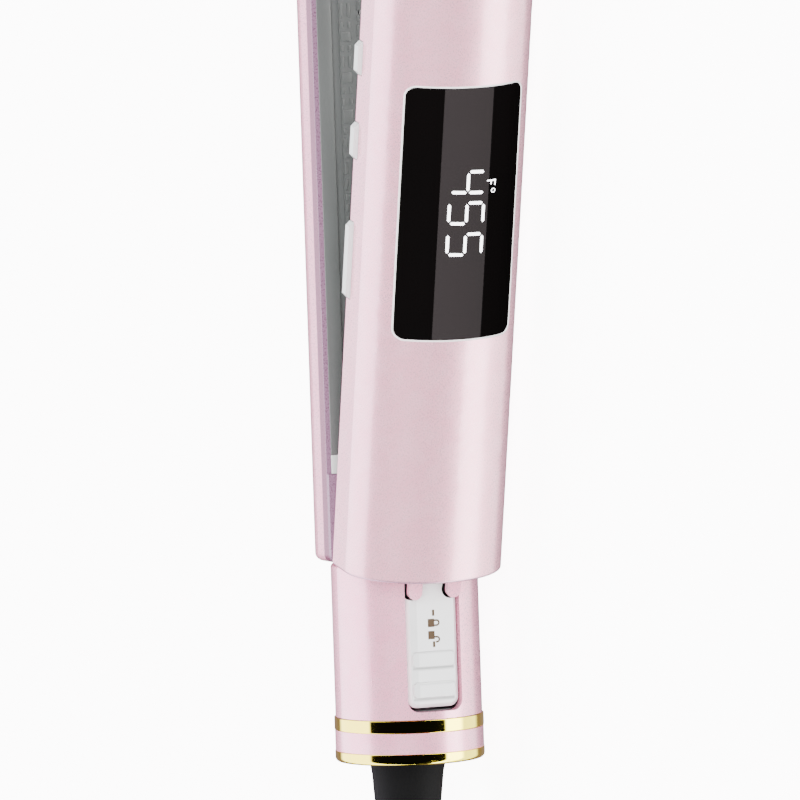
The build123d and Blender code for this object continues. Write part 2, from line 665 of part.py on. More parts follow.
def make_plug():
    """The moulded two-blade plug and its blades, on the table."""
    middle = FLOOR + PLUG_THICK / 2
    with BuildPart() as body:
        block((PLUG_START, PLUG_START + PLUG_LENGTH), (-PLUG_WIDTH / 2, PLUG_WIDTH / 2),
              (FLOOR, FLOOR + PLUG_THICK))
        fillet(body.edges().filter_by(Axis.Z).group_by(Axis.X)[0], 7.0)
        chamfer(body.edges().filter_by(Axis.Z).group_by(Axis.X)[-1], 2.0)
        with Locations(Location((PLUG_START + 1, 0, middle), (0, -90, 0))):
            Cone(5.6, 4.1, PLUG_RELIEF + 1, align=(Align.CENTER, Align.CENTER, Align.MIN))
    save(body, "plug_body", last_turn_place())
    with BuildPart() as blades:
        front = PLUG_START + PLUG_LENGTH
        for y in (-6.35, 6.35):
            block((front, front + 16), (y - 0.75, y + 0.75), (middle - 3.2, middle + 3.2))
            rod((front + 12, y, middle), 1.6, 4, ALONG_Y, Mode.SUBTRACT)
        chamfer(blades.edges().filter_by(Axis.Y).group_by(Axis.X)[-1], 1.0)
    save(blades, "plug_blades", last_turn_place())


for arm in (fixed, display):
    make_shell(arm)
    make_inner_cover(arm)
    make_end_block(arm)
    make_tip_cap(arm)
    make_cover_screws(arm)
    make_leads(arm)
    make_plate_carrier(arm)
    make_plate(arm)
    make_heater(arm)
    make_heater_clip(arm)
    make_plate_pads(arm)
make_window()
make_display_module()
make_board(display, "control_board", [(52, 10, 3.0, 6), (70, 8, 2.0, 5), (92, 12, 3.4, 4)])
make_board(fixed, "power_board", [(54, 14, 5.0, 6), (76, 9, 4.0, 5), (94, 8, 3.0, 6)])
make_button_board()
for button_name, (button_centre, button_length) in BUTTONS.items():
    make_button(button_name, button_centre, button_length)
make_hinge_frame()
make_frame_screws()
make_hinge_pin()
make_hinge_washers()
make_hinge_bracket()
make_bracket_screws()
make_opening_spring()
base_half(-1)
base_half(1)
make_base_screws()
make_slider()
make_lock_hook()
make_lock_lugs()
make_ring("upper_gold_ring", RING_ENDS[0], RING_ENDS[1], RING_RADIUS, 0.15)
make_ring("swivel_collar", RING_ENDS[1], RING_ENDS[2], RING_RADIUS - 0.1, 0.15)
make_ring("lower_gold_ring", RING_ENDS[2], RING_ENDS[3], RING_RADIUS, 1.0)
make_swivel_socket()
make_swivel_retainer()
make_swivel_hub()
make_strain_relief()
make_tube(CORD_ROUTE, "power_cord")
make_coil()
make_tie()
make_tube(END_ROUTE, "power_cord_end", last_turn_place())
make_plug()
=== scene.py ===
import json
from math import ceil, cos, pi, radians, sin, sqrt, tau

import bmesh
import bpy
from bpy.props import FloatProperty, FloatVectorProperty, IntProperty, PointerProperty, StringProperty
from mathutils import Matrix, Vector


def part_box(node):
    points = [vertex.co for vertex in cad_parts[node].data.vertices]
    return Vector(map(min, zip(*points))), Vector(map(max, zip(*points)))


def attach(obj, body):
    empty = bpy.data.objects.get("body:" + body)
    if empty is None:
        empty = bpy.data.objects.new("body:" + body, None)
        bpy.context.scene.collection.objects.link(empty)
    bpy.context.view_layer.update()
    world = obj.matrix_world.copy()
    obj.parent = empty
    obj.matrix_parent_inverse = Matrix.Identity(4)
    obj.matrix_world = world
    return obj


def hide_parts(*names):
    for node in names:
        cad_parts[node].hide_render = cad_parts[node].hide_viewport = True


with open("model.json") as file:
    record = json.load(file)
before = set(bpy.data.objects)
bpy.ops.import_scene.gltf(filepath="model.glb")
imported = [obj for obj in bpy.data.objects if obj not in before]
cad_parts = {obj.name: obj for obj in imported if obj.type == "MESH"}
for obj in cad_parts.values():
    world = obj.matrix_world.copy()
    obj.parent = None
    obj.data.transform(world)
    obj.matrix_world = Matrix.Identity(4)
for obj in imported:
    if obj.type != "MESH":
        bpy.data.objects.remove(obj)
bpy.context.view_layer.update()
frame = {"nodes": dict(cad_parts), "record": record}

bl_info = {
    "name": "Pearl flat iron",
    "version": (1, 0, 0),
    "blender": (4, 5, 0),
    "location": "View3D > Sidebar > Flat Iron",
    "description": "Builds the visible pieces, finishes and studio of a hair flat iron around its frame",
    "category": "Add Mesh",
}

MM = 0.001
JOINTS = {joint["name"]: joint for joint in frame["record"]["behaviour"]["joints"]}
PIVOT = Vector(JOINTS["arm_hinge"]["pos_m"])
OPEN_ANGLE = radians(JOINTS["arm_hinge"]["range_deg"][1])
FIXED_PLACE = Matrix.Translation(PIVOT)
DISPLAY_PLACE = FIXED_PLACE @ Matrix.Rotation(-OPEN_ANGLE, 4, "Z") @ Matrix.Rotation(pi, 4, "X")
BASE_BODY, DISPLAY_BODY, SWIVEL_BODY = "base_and_fixed_arm", "display_arm", "swivel"

# The arm's section, as in the frame: straight side walls under a half-elliptical back (mm)
HALF_WIDTH = 17.7
DISPLAY_WALL_TOP = 8.3
DISPLAY_ARCH = 12.4
# The window, the round base's axis and the arms' rear edge, from the hinge pin (mm)
WINDOW_CENTRE, WINDOW_LENGTH, WINDOW_WIDTH, WINDOW_CORNER = 71.85, 54.95, 26.7, 2.3
BASE_Y = 3.0
ARM_REAR = -9.0


# ------------------------------------------------------------------ settings


class FlatIronSettings(bpy.types.PropertyGroup):
    """Sizes and colours that a user may change"""
    pearl_colour: FloatVectorProperty(
        name="Pearl colour", description="Body colour of the arms' lacquer",
        default=(0.90, 0.40, 0.52), size=3, subtype="COLOR", min=0, max=1)
    base_colour: FloatVectorProperty(
        name="Base colour", description="Slightly pinker lacquer of the fixed arm, the base and the collar",
        default=(0.92, 0.36, 0.52), size=3, subtype="COLOR", min=0, max=1)
    gold_colour: FloatVectorProperty(
        name="Gold colour", description="Plating of the two rings",
        default=(0.92, 0.80, 0.10), size=3, subtype="COLOR", min=0, max=1)
    cover_colour: FloatVectorProperty(
        name="Cover colour", description="Satin moulding of the inner covers",
        default=(0.085, 0.091, 0.089), size=3, subtype="COLOR", min=0, max=1)
    digits: StringProperty(
        name="Digits", description="Temperature that the display shows", default="455")
    digit_height: FloatProperty(
        name="Digit height", description="Height of the display's digits",
        default=7.9 * MM, min=3 * MM, max=15 * MM, subtype="DISTANCE", unit="LENGTH")
    cord_radius: FloatProperty(
        name="Cord radius", description="Radius of the power cord",
        default=3.25 * MM, min=2 * MM, max=5 * MM, subtype="DISTANCE", unit="LENGTH")
    turn_points: IntProperty(
        name="Points a turn", description="Control points in each turn of the coiled cord",
        default=24, min=12, max=48)
    fill_light: FloatProperty(
        name="Soft lights", description="Brightness of the soft light in front, which the others follow",
        default=9.6, min=0, max=40)
    floor_light: FloatProperty(
        name="Floor light", description="Brightness of the glowing floor",
        default=9.0, min=0, max=40)
    studio_light: FloatProperty(
        name="Tent light", description="Brightness of the light tent that the gloss shows",
        default=1.0, min=0, max=10)


def settings():
    return bpy.context.scene.flat_iron


# ------------------------------------------------------------------ mesh helpers


def in_scene(name, data):
    """An object of a mesh, a curve, a light or a camera, linked to the scene."""
    made = bpy.data.objects.new(name, data)
    bpy.context.scene.collection.objects.link(made)
    return made


def new_object(name, vertices, faces, edges=()):
    mesh = bpy.data.meshes.new(name)
    mesh.from_pydata([tuple(point) for point in vertices], [tuple(edge) for edge in edges], faces)
    mesh.update()
    return in_scene(name, mesh)


def from_bmesh(name, work):
    mesh = bpy.data.meshes.new(name)
    work.to_mesh(mesh)
    work.free()
    return in_scene(name, mesh)


def new_curve(name, kind, points):
    """A curve's data with one spline through, or for NURBS near, its points, in metres."""
    curve = bpy.data.curves.new(name, "CURVE")
    curve.dimensions = "3D"
    spline = curve.splines.new(kind)
    spline.points.add(len(points) - 1)
    for made, point in zip(spline.points, points):
        made.co = (*point, 1)
    return curve, spline


def add_modifier(piece, kind, **values):
    modifier = piece.modifiers.new(kind.title(), kind)
    for name, value in values.items():
        setattr(modifier, name, value)
    return modifier


def add_bevel(piece, width, segments=2, angle=40.0):
    return add_modifier(piece, "BEVEL", width=width, segments=segments, limit_method="ANGLE",
                        angle_limit=radians(angle), harden_normals=False)


def apply_stack(piece):
    """Turns a piece's modifiers, or a curve, into a plain mesh."""
    graph = bpy.context.evaluated_depsgraph_get()
    graph.update()
    mesh = bpy.data.meshes.new_from_object(piece.evaluated_get(graph), depsgraph=graph)
    if piece.type == "MESH":
        piece.modifiers.clear()
        piece.data = mesh
        return piece
    name = piece.name
    bpy.data.objects.remove(piece)
    return in_scene(name, mesh)


def put(piece, place):
    """Puts a piece in its place through its mesh, its object staying at the origin."""
    piece.data.transform(place)
    piece.data.update()
    return piece


def smooth(piece, angle=35.0):
    """Smooth shading that keeps the edges sharper than an angle."""
    for face in piece.data.polygons:
        face.use_smooth = True
    piece.data.set_sharp_from_angle(angle=radians(angle))
    return piece


def finish_piece(piece, slot, body, replaced=(), finish=None):
    """Gives a piece the body that it rides on and a material, its slot's or another one."""
    piece.data.materials.clear()
    piece.data.materials.append(MATERIALS[finish or slot])
    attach(piece, body)
    if replaced:
        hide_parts(*replaced)
    return piece


def join(name, pieces):
    """One mesh from several, in the first one's frame."""
    work = bmesh.new()
    for piece in pieces:
        work.from_mesh(piece.data)
        bpy.data.objects.remove(piece)
    return from_bmesh(name, work)


def turned(name, profile, steps=64):
    """A round piece about Z from its profile, (radius, height) in mm from top to bottom."""
    vertices = [(radius * MM, 0, height * MM) for radius, height in profile]
    edges = [(index, index + 1) for index in range(len(vertices) - 1)]
    piece = new_object(name, vertices, [], edges)
    add_modifier(piece, "SCREW", axis="Z", steps=steps, render_steps=steps, use_merge_vertices=True,
                 merge_threshold=0.01 * MM, use_smooth_shade=True)
    return apply_stack(piece)


def box_cage(work, low, high):
    """Adds a box between two corners to a bmesh and gives its vertices."""
    corners = [(x, y, z) for x in (low[0], high[0]) for y in (low[1], high[1]) for z in (low[2], high[2])]
    made = [work.verts.new(corner) for corner in corners]
    for loop in ((0, 1, 3, 2), (4, 6, 7, 5), (0, 4, 5, 1), (2, 3, 7, 6), (0, 2, 6, 4), (1, 5, 7, 3)):
        work.faces.new([made[index] for index in loop])
    return made


def rounded_rectangle(low, high, corner, steps=6):
    """The points round a rectangle with rounded corners, in (x, z)."""
    points = []
    for x, z, first in ((high[0] - corner, high[1] - corner, 0), (low[0] + corner, high[1] - corner, 90),
                        (low[0] + corner, low[1] + corner, 180), (high[0] - corner, low[1] + corner, 270)):
        turns = [radians(first + 90 * step / steps) for step in range(steps + 1)]
        points += [(x + corner * cos(turn), z + corner * sin(turn)) for turn in turns]
    return points


def on_arch(x, z, proud=0.0):
    """A point on the display arm's back, in the arm's own frame, in mm."""
    rise = DISPLAY_ARCH * sqrt(max(0.0, 1 - (z / HALF_WIDTH) ** 2))
    return Vector((x, DISPLAY_WALL_TOP + rise + proud, z))


# ------------------------------------------------------------------ shader node groups


def new_group(name, inputs, outputs):
    """An empty node group with its sockets, its input node and its output node."""
    tree = bpy.data.node_groups.new(name, "ShaderNodeTree")
    for label, kind, value in inputs:
        socket = tree.interface.new_socket(label, in_out="INPUT", socket_type=kind)
        socket.default_value = value
    for label, kind in outputs:
        tree.interface.new_socket(label, in_out="OUTPUT", socket_type=kind)
    return tree, tree.nodes.new("NodeGroupInput"), tree.nodes.new("NodeGroupOutput")


def node(tree, kind, settings_of=(), **inputs):
    """A node with its settings, and its inputs given as numbers, colours or other sockets."""
    made = tree.nodes.new(kind)
    for name, value in dict(settings_of).items():
        setattr(made, name, value)
    for name, value in inputs.items():
        socket = made.inputs[int(name[1:])] if name[0] == "_" and name[1:].isdigit() else made.inputs[name]
        if isinstance(value, bpy.types.NodeSocket):
            tree.links.new(value, socket)
        else:
            socket.default_value = value
    return made


def map_range(tree, value, low, high, to_low=0.0, to_high=1.0):
    return node(tree, "ShaderNodeMapRange", _0=value, _1=low, _2=high, _3=to_low, _4=to_high).outputs[0]


def mix_colour(tree, factor, first, second):
    return node(tree, "ShaderNodeMix", {"data_type": "RGBA"}, _0=factor, _6=first, _7=second).outputs[2]


def maths(tree, operation, first, second=0.0):
    return node(tree, "ShaderNodeMath", {"operation": operation}, _0=first, _1=second).outputs[0]


def noise(tree, place, scale, detail, roughness=0.5):
    made = node(tree, "ShaderNodeTexNoise", Vector=place, Scale=scale, Detail=detail, Roughness=roughness)
    return made.outputs["Fac"]


def grain_group():
    """Fine moulded grain with a slow drift over it."""
    tree, given, result = new_group(
        "Moulded grain",
        [("Grain", "NodeSocketFloat", 1500.0), ("Drift", "NodeSocketFloat", 40.0)],
        [("Height", "NodeSocketFloat"), ("Drift", "NodeSocketFloat")])
    place = node(tree, "ShaderNodeTexCoord").outputs["Object"]
    tree.links.new(noise(tree, place, given.outputs["Grain"], 3.0, 0.6), result.inputs["Height"])
    tree.links.new(noise(tree, place, given.outputs["Drift"], 2.0), result.inputs["Drift"])
    return tree


def flake_group():
    """Pearl flakes: cells of random brightness, most of them dim, under the lacquer."""
    tree, given, result = new_group(
        "Pearl flakes",
        [("Size", "NodeSocketFloat", 2600.0), ("Body", "NodeSocketColor", (0.8, 0.6, 0.65, 1)),
         ("Flake", "NodeSocketColor", (1, 0.95, 0.95, 1)), ("Amount", "NodeSocketFloat", 0.25)],
        [("Colour", "NodeSocketColor"), ("Flakes", "NodeSocketFloat"), ("Height", "NodeSocketFloat")])
    place = node(tree, "ShaderNodeTexCoord").outputs["Object"]
    cells = node(tree, "ShaderNodeTexVoronoi", {"feature": "F1"}, Vector=place, Scale=given.outputs["Size"])
    bright = node(tree, "ShaderNodeSeparateColor", Color=cells.outputs["Color"]).outputs[0]
    flakes = map_range(tree, bright, 0.55, 1.0)
    share = maths(tree, "MULTIPLY", flakes, given.outputs["Amount"])
    cloud = map_range(tree, noise(tree, place, 320.0, 2.0), 0.35, 0.65, 0.0, 0.10)
    tint = mix_colour(tree, cloud, given.outputs["Body"], given.outputs["Flake"])
    colour = mix_colour(tree, share, tint, given.outputs["Flake"])
    tree.links.new(colour, result.inputs["Colour"])
    tree.links.new(flakes, result.inputs["Flakes"])
    tree.links.new(bright, result.inputs["Height"])
    return tree


def brushed_group():
    """Long fine scratches along one direction, as brushing or turning leaves them."""
    tree, given, result = new_group(
        "Brushed lines",
        [("Stretch", "NodeSocketVector", (40.0, 3000.0, 3000.0)), ("Wear", "NodeSocketFloat", 60.0)],
        [("Lines", "NodeSocketFloat"), ("Wear", "NodeSocketFloat")])
    place = node(tree, "ShaderNodeTexCoord").outputs["Object"]
    stretched = node(tree, "ShaderNodeVectorMath", {"operation": "MULTIPLY"}, _0=place,
                     _1=given.outputs["Stretch"])
    tree.links.new(noise(tree, stretched.outputs[0], 1.0, 2.0), result.inputs["Lines"])
    tree.links.new(noise(tree, place, given.outputs["Wear"], 4.0), result.inputs["Wear"])
    return tree


def painted_edge_shade_group():
    """Painted shade: a darker tint on one side of a plane, standing for the shade and dark reflections that
    an edge shows.
    """
    tree, given, result = new_group(
        "Painted edge shade",
        [("Body", "NodeSocketColor", (1, 1, 1, 1)), ("Tint", "NodeSocketColor", (0.5, 0.3, 0.4, 1)),
         ("Across", "NodeSocketVector", (0.0, 1.0, 0.0)), ("Full", "NodeSocketFloat", 0.0),
         ("Clear", "NodeSocketFloat", 0.001)],
        [("Colour", "NodeSocketColor")])
    place = node(tree, "ShaderNodeTexCoord").outputs["Object"]
    along = node(tree, "ShaderNodeVectorMath", {"operation": "DOT_PRODUCT"}, _0=place,
                 _1=given.outputs["Across"])
    share = map_range(tree, along.outputs["Value"], given.outputs["Clear"], given.outputs["Full"])
    colour = mix_colour(tree, share, given.outputs["Body"], given.outputs["Tint"])
    tree.links.new(colour, result.inputs["Colour"])
    return tree


GROUPS = {}


def group(name):
    """A node group by its short name, built the first time it is asked for."""
    builders = {"grain": grain_group, "flakes": flake_group, "brushed": brushed_group,
                "painted_edge_shade": painted_edge_shade_group}
    if name not in GROUPS:
        GROUPS[name] = builders[name]()
    return GROUPS[name]


# ------------------------------------------------------------------ materials


def new_material(name, **surface):
    """A Principled material, its plain numbers on the shader's own sockets."""
    material = bpy.data.materials.new(name)
    material.use_nodes = True
    tree = material.node_tree
    shader = tree.nodes["Principled BSDF"]
    labels = {"roughness": "Roughness", "metallic": "Metallic", "coat": "Coat Weight", "ior": "IOR",
              "coat_roughness": "Coat Roughness", "specular": "Specular IOR Level", "sheen": "Sheen Weight",
              "glow": "Emission Strength"}
    for key, value in surface.items():
        if key == "colour":
            shader.inputs["Base Color"].default_value = (*value, 1)
            material.diffuse_color = (*value, 1)
        else:
            shader.inputs[labels[key]].default_value = value
    return material, tree, shader


def add_group(tree, name, **inputs):
    return node(tree, "ShaderNodeGroup", {"node_tree": group(name)}, **inputs)


def add_bump(tree, shader, height, distance, strength=1.0):
    bump = node(tree, "ShaderNodeBump", Height=height, Distance=distance, Strength=strength)
    tree.links.new(bump.outputs[0], shader.inputs["Normal"])


def vary(tree, shader, mark, tones, gloss, top=0.7):
    """Lets a colour and a roughness drift between two values each, as a mark does."""
    darker, lighter = ((*tone, 1) for tone in tones)
    tree.links.new(mix_colour(tree, mark, darker, lighter), shader.inputs["Base Color"])
    tree.links.new(map_range(tree, mark, 0.3, top, *gloss), shader.inputs["Roughness"])


def moulded(name, colour, roughness, grain=1500.0, depth=0.004 * MM, tone=0.06, **surface):
    """Moulded plastic, rubber or ceramic: fine grain, and a colour and gloss that drift a little."""
    material, tree, shader = new_material(name, colour=colour, roughness=roughness, **surface)
    marks = add_group(tree, "grain", Grain=grain, Drift=45.0)
    darker = [channel * (1 - tone) for channel in colour]
    lighter = [min(1.0, channel * (1 + tone)) for channel in colour]
    gloss = (roughness * 0.9, min(1.0, roughness * 1.1))
    vary(tree, shader, marks.outputs["Drift"], (darker, lighter), gloss)
    add_bump(tree, shader, marks.outputs["Height"], depth, 0.6)
    return material


FLAKE_COLOUR, FLAKE_SHARE = (1.0, 0.84, 0.88, 1), 0.16


def pearl(name, colour, tints=()):
    """Pearl lacquer: pale flakes in a tinted body under a clear coat, and painted shade, darker tints,
    towards some edges.
    """
    material, tree, shader = new_material(name, colour=colour, roughness=0.30, metallic=0.4, coat=0.8,
                                          coat_roughness=0.08)
    flakes = add_group(tree, "flakes", Size=5200.0, Body=(*colour, 1), Flake=FLAKE_COLOUR, Amount=FLAKE_SHARE)
    body = flakes.outputs["Colour"]
    # Painted shade: each tint darkens the body colour beyond a plane near an edge
    for tint, across, full, clear in tints:
        body = add_group(tree, "painted_edge_shade", Body=body, Tint=(*tint, 1), Across=across, Full=full,
                         Clear=clear).outputs["Colour"]
    tree.links.new(body, shader.inputs["Base Color"])
    gloss = map_range(tree, flakes.outputs["Flakes"], 0.0, 1.0, 0.32, 0.24)
    tree.links.new(gloss, shader.inputs["Roughness"])
    add_bump(tree, shader, flakes.outputs["Height"], 0.004 * MM, 0.12)
    return material


# The slider's painted shade under its ribs: place along the base and reach (mm), and depth of the painted
# shade
RIB_SHADES = ((-28.2, 0.35, 0.45), (-31.6, 0.6, 1.0), (-34.9, 0.35, 0.45), (-38.2, 0.6, 1.0))
# Half the ribs' width, where their painted shade starts to fade and is gone, and where the painted shade down
# the upper bevel starts and is full (mm), and how dark it gets
RIB_FADE, RIB_END = 4.6, 5.0
BEVEL_START, BEVEL_FULL, BEVEL_SHADE = 3.3, 3.6, 0.28


def white_with_painted_shade(name, colour):
    """The slider's white moulding with painted shade: a soft grey painted under each rib and down its
    bevelled upper side.
    """
    material = moulded(name, colour, 0.35, 1200.0, 0.003 * MM, 0.02)
    tree = material.node_tree
    shader = tree.nodes["Principled BSDF"]
    place = node(tree, "ShaderNodeTexCoord").outputs["Object"]
    parts = node(tree, "ShaderNodeSeparateXYZ", Vector=place).outputs
    shade = 0.0
    for centre, reach, depth in RIB_SHADES:
        away = maths(tree, "ABSOLUTE", maths(tree, "SUBTRACT", parts[0], PIVOT.x + centre * MM))
        shade = maths(tree, "MAXIMUM", shade, map_range(tree, away, 0.0, reach * MM, depth, 0.0))
    off_middle = maths(tree, "ABSOLUTE", maths(tree, "SUBTRACT", parts[2], PIVOT.z))
    shade = maths(tree, "MULTIPLY", shade, map_range(tree, off_middle, RIB_FADE * MM, RIB_END * MM, 1.0, 0.0))
    bevel = map_range(tree, parts[2], PIVOT.z + BEVEL_START * MM, PIVOT.z + BEVEL_FULL * MM, 0.0, BEVEL_SHADE)
    shade = maths(tree, "MAXIMUM", shade, bevel)
    body = shader.inputs["Base Color"].links[0].from_socket
    # Painted shade: the white turns grey under each rib and down the upper bevel
    grey = tuple(channel * 0.42 for channel in colour)
    tree.links.new(mix_colour(tree, shade, body, (*grey, 1)), shader.inputs["Base Color"])
    return material


def metal(name, colour, roughness, stretch, lines=0.004 * MM, wear=0.06):
    """Plated, turned or brushed metal with fine lines and a gloss that is worn a little."""
    material, tree, shader = new_material(name, colour=colour, roughness=roughness, metallic=1.0)
    marks = add_group(tree, "brushed", Stretch=stretch, Wear=90.0)
    duller = [channel * 0.93 for channel in colour]
    vary(tree, shader, marks.outputs["Wear"], (duller, colour), (roughness, roughness + wear), 0.75)
    add_bump(tree, shader, marks.outputs["Lines"], lines, 0.3)
    return material


def window_black():
    """Smoked glossy plastic with the faintest haze."""
    material, tree, shader = new_material("Window black", colour=(0.0025, 0.002, 0.002), roughness=0.03,
                                          specular=0.0)
    marks = add_group(tree, "grain", Grain=300.0, Drift=20.0)
    tones = ((0.002, 0.0017, 0.0017), (0.003, 0.0024, 0.0024))
    vary(tree, shader, marks.outputs["Drift"], tones, (0.02, 0.04))
    return material


def painted_reflection_band():
    """Painted reflection: a paler band across the window, behind the digits, standing for a reflection."""
    material, tree, shader = new_material("Painted reflection band", colour=(0.028, 0.024, 0.0245), roughness=0.05,
                                          specular=0.0)
    marks = add_group(tree, "grain", Grain=400.0, Drift=35.0)
    tones = ((0.022, 0.019, 0.0195), (0.0255, 0.0215, 0.022))
    vary(tree, shader, marks.outputs["Drift"], tones, (0.04, 0.07))
    return material


def strap_weave():
    """Woven strap: crossing threads from two waves."""
    material, tree, shader = new_material("Strap weave", colour=(0.02, 0.02, 0.022), roughness=0.9,
                                          sheen=0.25)
    place = node(tree, "ShaderNodeTexCoord").outputs["Object"]
    waves = []
    for direction in ("X", "Y"):
        wave = node(tree, "ShaderNodeTexWave", {"bands_direction": direction}, Vector=place, Scale=380.0,
                    Distortion=0.4)
        waves.append(wave.outputs["Fac"])
    threads = maths(tree, "MULTIPLY", waves[0], waves[1])
    tree.links.new(mix_colour(tree, threads, (0.012, 0.012, 0.013, 1), (0.05, 0.05, 0.053, 1)),
                   shader.inputs["Base Color"])
    add_bump(tree, shader, threads, 0.1 * MM, 0.8)
    return material


def display_glow():
    """The lit segments: even light, a little weaker where the diffuser drifts."""
    material, tree, shader = new_material("Display glow", colour=(0.9, 0.9, 0.9), roughness=0.5, glow=4.5)
    marks = add_group(tree, "grain", Grain=900.0, Drift=200.0)
    tree.links.new(mix_colour(tree, marks.outputs["Drift"], (0.93, 0.94, 0.97, 1), (1, 1, 1, 1)),
                   shader.inputs["Emission Color"])
    return material


MATERIALS = {}

# The fixed arm's mauve rim, painted shade and reflection of the display arm and the dark gap: tints of its
# wall and edge, each full and gone this far out from the pin (mm)
WALL_SHADE, WALL_SHADE_FULL, WALL_SHADE_END = (0.19, 0.04, 0.10), 4.3, 4.8
EDGE_SHADE, EDGE_SHADE_FULL, EDGE_SHADE_END = (0.26, 0.135, 0.215), 1.7, 2.2
# The display arm's rear edge: how far from it the darker line of painted shade, a dark reflection, is full
# and gone (mm)
REAR_SHADE, REAR_SHADE_FULL, REAR_SHADE_END = (0.42, 0.22, 0.32), 0.25, 0.75


def make_materials():
    """One material for each slot of the record, and a few more for single pieces."""
    values = settings()
    turned_lines = (3500.0, 60.0, 60.0)
    long_lines = (30.0, 2500.0, 2500.0)
    display_along = DISPLAY_PLACE.to_3x3() @ Vector((1, 0, 0))
    rear = display_along.dot(PIVOT) + ARM_REAR * MM
    # Painted shade: a darker line along the display arm's rear edge, for its dark reflection
    rear_shade = (REAR_SHADE, display_along, rear + REAR_SHADE_FULL * MM, rear + REAR_SHADE_END * MM)
    # Painted shade and reflection: mauve on the fixed arm's wall and edge near the gap
    rim_shades = [(tint, (0, 1, 0), PIVOT.y + full * MM, PIVOT.y + clear * MM)
                 for tint, full, clear in ((WALL_SHADE, WALL_SHADE_FULL, WALL_SHADE_END),
                                           (EDGE_SHADE, EDGE_SHADE_FULL, EDGE_SHADE_END))]
    MATERIALS.update({
        "pearl_shell": pearl("Pearl lacquer", tuple(values.pearl_colour), [rear_shade]),
        "pearl_base": pearl("Pearl lacquer of the base", tuple(values.base_colour)),
        "grey_cover": moulded("Satin grey moulding", tuple(values.cover_colour), 0.42, 900.0, 0.006 * MM),
        "light_block": moulded("Light grey moulding", (0.50, 0.53, 0.51), 0.4),
        "black_glass": window_black(),
        "gold": metal("Gold plating", tuple(values.gold_colour), 0.06, turned_lines, 0.001 * MM, 0.03),
        # The slider's white, with painted shade under its ribs and down its bevel
        "white_plastic": white_with_painted_shade("White moulding with painted shade", (0.84, 0.85, 0.85)),
        "button_plastic": moulded("Button moulding", (0.70, 0.72, 0.72), 0.38, 1200.0, 0.003 * MM, 0.03),
        "black_rubber": moulded("Strain relief rubber", (0.005, 0.005, 0.0053), 0.6, 1400.0, 0.004 * MM, 0.2,
                                specular=0.03),
        "cord_sheath": moulded("Cord sheath", (0.006, 0.006, 0.0063), 0.45, 1100.0, 0.006 * MM, 0.2,
                               specular=0.12),
        "plug_moulding": moulded("Plug moulding", (0.007, 0.007, 0.0074), 0.5, 1300.0, 0.01 * MM, 0.2,
                                 specular=0.15),
        "nickel": metal("Nickel plating", (0.78, 0.76, 0.70), 0.18, long_lines),
        "steel": metal("Plain steel", (0.55, 0.55, 0.56), 0.32, turned_lines),
        "spring_steel": metal("Spring steel", (0.42, 0.43, 0.46), 0.28, long_lines),
        "plate_coating": metal("Plate coating", (0.60, 0.47, 0.44), 0.16, long_lines, 0.002 * MM, 0.05),
        "carrier_plastic": moulded("Heat-resistant black", (0.03, 0.03, 0.032), 0.5, tone=0.15),
        "ceramic": moulded("Fired ceramic", (0.80, 0.77, 0.70), 0.55),
        "silicone": moulded("Red silicone", (0.55, 0.10, 0.05), 0.5),
        "circuit_board": moulded("Solder mask", (0.02, 0.14, 0.05), 0.35),
        "display_part": moulded("Display moulding", (0.02, 0.02, 0.02), 0.5, tone=0.15),
        "nylon": moulded("Glass-filled nylon", (0.05, 0.05, 0.052), 0.6, 700.0, 0.01 * MM, 0.15),
        "lead_sleeve": moulded("Glass sleeve", (0.75, 0.74, 0.70), 0.8, 2500.0, 0.02 * MM),
        "tie_strap": strap_weave(),
        # The fixed arm's pearl, with painted shade and reflection along its rim
        "fixed_pearl": pearl("Pearl lacquer of the fixed arm, with painted rim shade", tuple(values.base_colour), rim_shades),
        "glow": display_glow(),
        # Painted reflection: a paler band across the window
        "strip": painted_reflection_band(),
        # Painted highlight: the pale bead round the window
        "rim": moulded("Painted highlight round the window", (0.92, 0.87, 0.88), 0.25, 1200.0, 0.002 * MM, 0.02),
        "mark_gold": moulded("Mark gold", (0.045, 0.021, 0.003), 0.4, tone=0.25),
    })


# ------------------------------------------------------------------ cord


FLOOR = -HALF_WIDTH
COIL_CENTRE = (-168.0, -30.0)
COIL_RADIUS, TURN_SPACING = 47.75, 6.5
LAYER_HEIGHTS = (-13.65, -7.15)
COIL_START, COIL_END = 90.0, 285.0
COIL_TURNS = 7.0 + (COIL_END - COIL_START) / 360.0
# Where round the coil the cord steps a turn in, climbs to the upper layer and steps out again (degrees)
STEPS_IN, CLIMB, STEPS_OUT = (270.0, 630.0, 990.0), 1320.0, (1630.0, 1990.0, 2350.0)
STEP_LENGTH = 50.0
CORD_ROUTE = [(-92.0, 3.0, 0.0), (-102.0, 3.0, 0.0), (-112.0, 4.0, -2.5), (-122.5, 6.5, -7.2),
              (-133.0, 9.8, -11.6), (-144.0, 13.3, -13.65), (-156.0, 16.3, -13.65), (-168.0, 17.75, -13.65)]
END_ROUTE = [(0.0, 0.0, -7.15), (8.0, 0.0, -7.15), (16.0, 0.2, -8.9), (23.0, 0.0, -10.2), (30.0, 0.0, -10.2)]


def last_turn_place():
    """Where the cord leaves its last turn, with x along the cord, about the hinge pin."""
    angle = radians(COIL_END)
    x = COIL_CENTRE[0] + COIL_RADIUS * cos(angle)
    y = COIL_CENTRE[1] + COIL_RADIUS * sin(angle)
    turn = Matrix.Rotation(radians(COIL_END - 270), 4, "Z")
    return FIXED_PLACE @ Matrix.Translation((x * MM, y * MM, 0)) @ turn


def eased(turned_by, start):
    """0 before an angle, 1 a step later, smooth between."""
    share = min(1.0, max(0.0, (turned_by - start) / STEP_LENGTH))
    return share * share * (3 - 2 * share)


